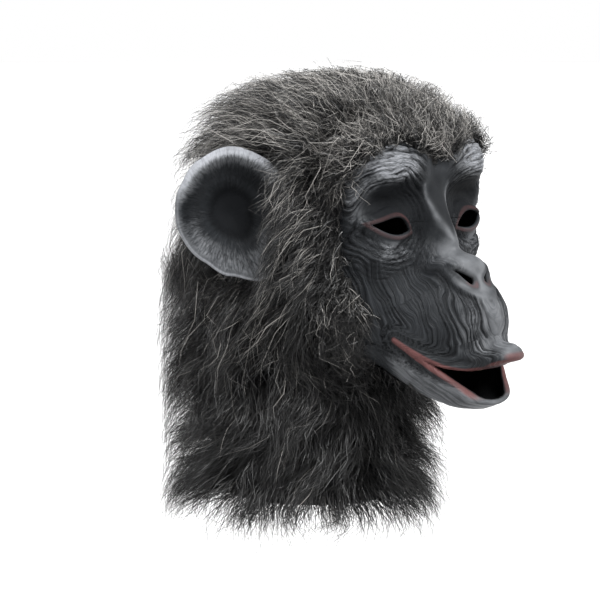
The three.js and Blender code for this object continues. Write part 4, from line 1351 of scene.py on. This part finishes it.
@dataclass(frozen=True)
class LatexFinish(Finish):
    """Charcoal latex with flesh-pink lips; dark paint and painted shade darken its creases and recesses, and
    light dry-brush paint with painted highlights lightens its high forms.
    """

    name: str = "charcoal_latex"
    charcoal: tuple[float, ...] = tint(0.0165, 0.0182, 0.0205)
    # light dry-brush paint and painted highlight on the high forms
    brushed_and_highlight: tuple[float, ...] = tint(0.125, 0.13, 0.138)
    # painted highlight on the brow tops and the ears' upper rims
    top_highlight: tuple[float, ...] = tint(0.29, 0.3, 0.325)
    # dark paint and painted shade in the creases, sockets and other recesses
    dark_paint_and_shade: tuple[float, ...] = tint(0.0042, 0.0048, 0.0058)
    flesh: tuple[float, ...] = tint(0.072, 0.029, 0.028)
    inside: tuple[float, ...] = tint(0.006, 0.0063, 0.0072)
    roughness: float = 0.5
    gloss: float = 0.11

    def paint(self, kit: ShaderKit) -> bpy.types.Material:
        """Makes the material's nodes."""
        place = kit.place()
        ring_share, fold_share = kit.mark("ring_share"), kit.mark("fold_share")
        fine_rings = self._lines(kit, kit.lines("rings"), 1.9)
        fine_folds = self._lines(kit, kit.lines("folds"), 1.9)
        finer_rings = self._lines(kit, kit.lines("rings"), 4.1)
        finer_folds = self._lines(kit, kit.lines("folds"), 4.1)
        speck = kit.grain(place, 900, 2)
        mottle = kit.grain(place, 55, 3, 0.6)
        patches = kit.grain(place, 18, 2, 0.5)
        lines = ring_share * (0.6 * fine_rings + 0.4 * finer_rings)
        lines = lines + fold_share * (0.6 * fine_folds + 0.4 * finer_folds)
        crease = kit.mark("crease").capped()
        raised = kit.mark("raised")
        # light dry-brush paint with painted highlight on the high forms, kept out of the creases
        brushed_and_highlight = raised * 0.75 + (mottle - 0.45) * 0.9 + (patches - 0.5) * 0.5
        brushed_and_highlight = (brushed_and_highlight * (1 - 0.7 * crease)).ramp(0.05, 0.95)
        brushed_and_highlight = (brushed_and_highlight - 0.35 * lines).capped()
        base = kit.colour(brushed_and_highlight, self.charcoal, self.brushed_and_highlight)
        # painted highlight where the high forms rise most: brow tops and the ears' upper rims
        top_highlight = ((raised - 0.95) * (0.6 + 0.8 * mottle)).ramp(0.0, 0.6)
        base = kit.colour(top_highlight * (1 - 0.5 * lines), base, self.top_highlight)
        # painted shade in the creases and fine furrows
        base = kit.colour((crease * 0.9 + lines * 0.5).capped(), base, self.dark_paint_and_shade)
        # dark paint and painted shade in the sockets and recesses
        base = kit.colour((kit.mark("dark_paint_and_shade") * (0.8 + 0.4 * mottle)).capped(), base, self.dark_paint_and_shade)
        pink = (kit.mark("pink") * (0.55 + 0.75 * mottle)).ramp(0.25, 0.85)
        base = kit.colour(pink * 0.92, base, self.flesh)
        base = kit.colour(kit.mark("outer"), self.inside, base)
        height = (0.5 - 0.5 * lines) + 0.16 * speck + 0.2 * mottle
        rough = self.roughness + 0.16 * (mottle - 0.5) + 0.1 * crease + 0.3 * kit.mark("dark_paint_and_shade")
        return kit.surface({
            "Base Color": base, "Roughness": rough, "Normal": kit.bump(height, 0.0011),
            "Specular IOR Level": self.gloss,
        })

    def _lines(self, kit: ShaderKit, where: Wire, scale: float) -> Wire:
        """Thin furrows along creased coordinates, 1 in a furrow."""
        cloud = kit.grain(where, scale, 1.5, 0.5)
        off = kit.node("ShaderNodeMath", {"operation": "ABSOLUTE"}, {0: cloud - 0.5})
        return 1 - off.ramp(0.0, 0.09)


@dataclass(frozen=True)
class FurFinish(Finish):
    """Near-black acrylic hair with light grey strands, browner and greyer toward the crown; the strands are
    partly the hair's own and partly painted highlight on the top of the head.
    """

    name: str = "acrylic_fur"
    root: tuple[float, ...] = tint(0.0016, 0.0016, 0.0017)
    black: tuple[float, ...] = tint(0.0030, 0.0031, 0.0034)
    lit: tuple[float, ...] = tint(0.014, 0.0135, 0.0135)
    # light strand colour, also used as the painted highlight toward the crown
    frost_and_highlight: tuple[float, ...] = tint(0.29, 0.278, 0.262)
    roughness: float = 0.4
    gloss: float = 0.3

    def paint(self, kit: ShaderKit) -> bpy.types.Material:
        """Makes the material's nodes."""
        tone, along, grey = kit.mark("tone"), kit.mark("along"), kit.mark("grey")
        base = kit.colour((tone**2.2).capped(), self.black, self.lit)
        # light strands at random, more toward the crown as painted highlight
        frost_and_lit_share = (tone + grey * 0.22 - 0.74).ramp(0.0, 0.2)
        base = kit.colour(frost_and_lit_share * 0.9, base, self.frost_and_highlight)
        base = kit.colour(along.ramp(0.0, 0.5), self.root, base)
        rough = self.roughness + 0.12 * (tone - 0.5)
        return kit.surface({"Base Color": base, "Roughness": rough, "Specular IOR Level": self.gloss})


@dataclass(frozen=True)
class BackingFinish(Finish):
    """The matted dark ground that the hairs stand in."""

    name: str = "fur_backing"
    dark: tuple[float, ...] = tint(0.0035, 0.0033, 0.0033)
    soft: tuple[float, ...] = tint(0.009, 0.0085, 0.008)

    def paint(self, kit: ShaderKit) -> bpy.types.Material:
        """Makes the material's nodes."""
        nap = kit.grain(kit.place(), 700, 3, 0.7)
        base = kit.colour(nap, self.dark, self.soft)
        return kit.surface({"Base Color": base, "Roughness": 0.95, "Normal": kit.bump(nap, 0.001)})


@dataclass(frozen=True)
class TeethFinish(Finish):
    """Ivory teeth with cloudy stains, duller where they are stained."""

    name: str = "ivory_teeth"
    ivory: tuple[float, ...] = tint(0.46, 0.40, 0.26)
    stain: tuple[float, ...] = tint(0.13, 0.085, 0.04)

    def paint(self, kit: ShaderKit) -> bpy.types.Material:
        """Makes the material's nodes."""
        cloud = kit.grain(kit.place(), 90, 3, 0.6)
        base = kit.colour(cloud.ramp(0.45, 0.8), self.ivory, self.stain)
        return kit.surface({
            "Base Color": base, "Roughness": 0.3 + 0.2 * cloud, "Normal": kit.bump(cloud, 0.0004),
        })


@dataclass(frozen=True)
class FloorFinish(Finish):
    """The plain pale floor, matt and near white under the lamps."""

    name: str = "studio_floor"

    def paint(self, kit: ShaderKit) -> bpy.types.Material:
        """Makes the material's nodes."""
        return kit.surface({
            "Base Color": tint(0.52, 0.52, 0.52), "Roughness": 0.95, "Specular IOR Level": 0.1,
        })


@dataclass
class Studio:
    """Pale floor, soft lamps and the camera."""

    face: FaceFrame = field(default_factory=FaceFrame)
    turn: float = 45.0
    height: float = 8.0
    scale: float = 0.85
    distance: float = 1800.0
    head_pixel: tuple[float, float] = (353.0, 209.0)
    frame_pixels: float = 600.0
    sensor: float = 36.0
    floor_drop: float = 1.1
    sky_low: float = 0.1
    sky_high: float = 0.3
    sky_bright: float = 1.0
    sky_dim: float = 0.16

    def camera(self) -> None:
        """Puts the camera where the photograph was taken from."""
        c, s = cos(radians(self.turn)), sin(radians(self.turn))
        ce, se = cos(radians(self.height)), sin(radians(self.height))
        right = np.array([c, s, 0.0])
        back = np.array([-s * ce, c * ce, se])
        up = np.array([se * s, -se * c, ce])
        half = self.frame_pixels / 2
        aim = (half - self.head_pixel[0]) * self.scale * right + (self.head_pixel[1] - half) * self.scale * up
        lens = bpy.data.cameras.new("camera")
        lens.sensor_width = self.sensor
        lens.lens = self.sensor * self.distance / (self.frame_pixels * self.scale)
        lens.clip_end = 100
        camera = bpy.data.objects.new("camera", lens)
        place = self.face.to_part(aim + self.distance * back)
        target = self.face.to_part(aim)
        camera.location = Vector(place)
        camera.rotation_euler = Vector(target - place).to_track_quat("-Z", "Y").to_euler()
        bpy.context.scene.collection.objects.link(camera)
        bpy.context.scene.camera = camera

    def lamp(self, name: str, source: tuple[float, float, float], spread: float, power: float) -> None:
        """Adds one far soft lamp.

        Args:
            name: the lamp's name.
            source: the direction that its light comes from.
            spread: how wide it looks from the mask, in degrees.
            power: its strength.
        """
        light = bpy.data.lights.new(name, "SUN")
        light.angle = radians(spread)
        light.energy = power
        lamp = bpy.data.objects.new(name, light)
        lamp.location = Vector(source) * 3
        lamp.rotation_euler = (-Vector(source)).to_track_quat("-Z", "Y").to_euler()
        bpy.context.scene.collection.objects.link(lamp)

    def floor(self) -> None:
        """Adds the floor, a wide round sheet."""
        radius, around = np.array([1.0, 4.0, 12.0, 40.0]), 64
        turn = np.arange(around) * 2 * pi / around
        points = np.stack([np.outer(radius, np.cos(turn)), np.outer(radius, np.sin(turn))], -1).reshape(-1, 2)
        points = np.concatenate([points, [[0, 0]]])
        mesh = bpy.data.meshes.new("studio_floor")
        faces = []
        for ring in range(len(radius) - 1):
            for step in range(around):
                after = (step + 1) % around
                a, b = ring * around + step, ring * around + after
                faces.append((a, a + around, b + around, b))
        faces += [(len(points) - 1, step, (step + 1) % around) for step in range(around)]
        mesh.from_pydata([(x, y, -self.floor_drop) for x, y in points], [], faces)
        piece = bpy.data.objects.new("studio_floor", mesh)
        piece.data.materials.append(FloorFinish().dress())
        bpy.context.scene.collection.objects.link(piece)

    def sky(self) -> None:
        """Sets the soft light from all round, white at the horizon and dimmer above."""
        world = bpy.data.worlds.new("studio")
        kit = ShaderKit(world)
        place = kit.node("ShaderNodeTexCoord", {}, {}, "Generated")
        height = kit.node("ShaderNodeSeparateXYZ", {}, {0: place}, 2)
        fade = {0: height, 1: self.sky_low, 2: self.sky_high, 3: self.sky_bright, 4: self.sky_dim}
        strength = kit.node("ShaderNodeMapRange", {"interpolation_type": "SMOOTHSTEP"}, fade)
        ground = kit.node("ShaderNodeBackground", {}, {0: tint(1, 1, 1), 1: strength})
        kit.node("ShaderNodeOutputWorld", {}, {0: ground}, None)
        bpy.context.scene.world = world

    def build(self) -> None:
        """Sets the whole studio."""
        self.camera()
        self.floor()
        self.sky()
        self.lamp("key", (-0.14, -0.62, 0.77), 32, 7.5)
        self.lamp("rim", (-0.6, 0.35, 0.7), 28, 3.4)
        self.lamp("side", (0.85, -0.5, 0.3), 40, 1.3)
        bpy.context.scene.view_settings.view_transform = "Standard"


def main() -> None:
    """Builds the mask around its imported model, piece by piece."""
    logging.basicConfig(level=logging.INFO)
    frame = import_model()
    Studio().build()
    latex, fur, backing = LatexFinish(), FurFinish(), BackingFinish()
    MouldedHead().build(latex)
    ears = tuple(CastEar(side) for side in Side)
    for ear in ears:
        ear.build(latex)
    teeth = frame["nodes"]["upper_teeth"]
    teeth.data.materials.clear()
    teeth.data.materials.append(TeethFinish().dress())
    FauxFur(ears=ears).build(fur, backing)


if __name__ == "__main__":
    main()
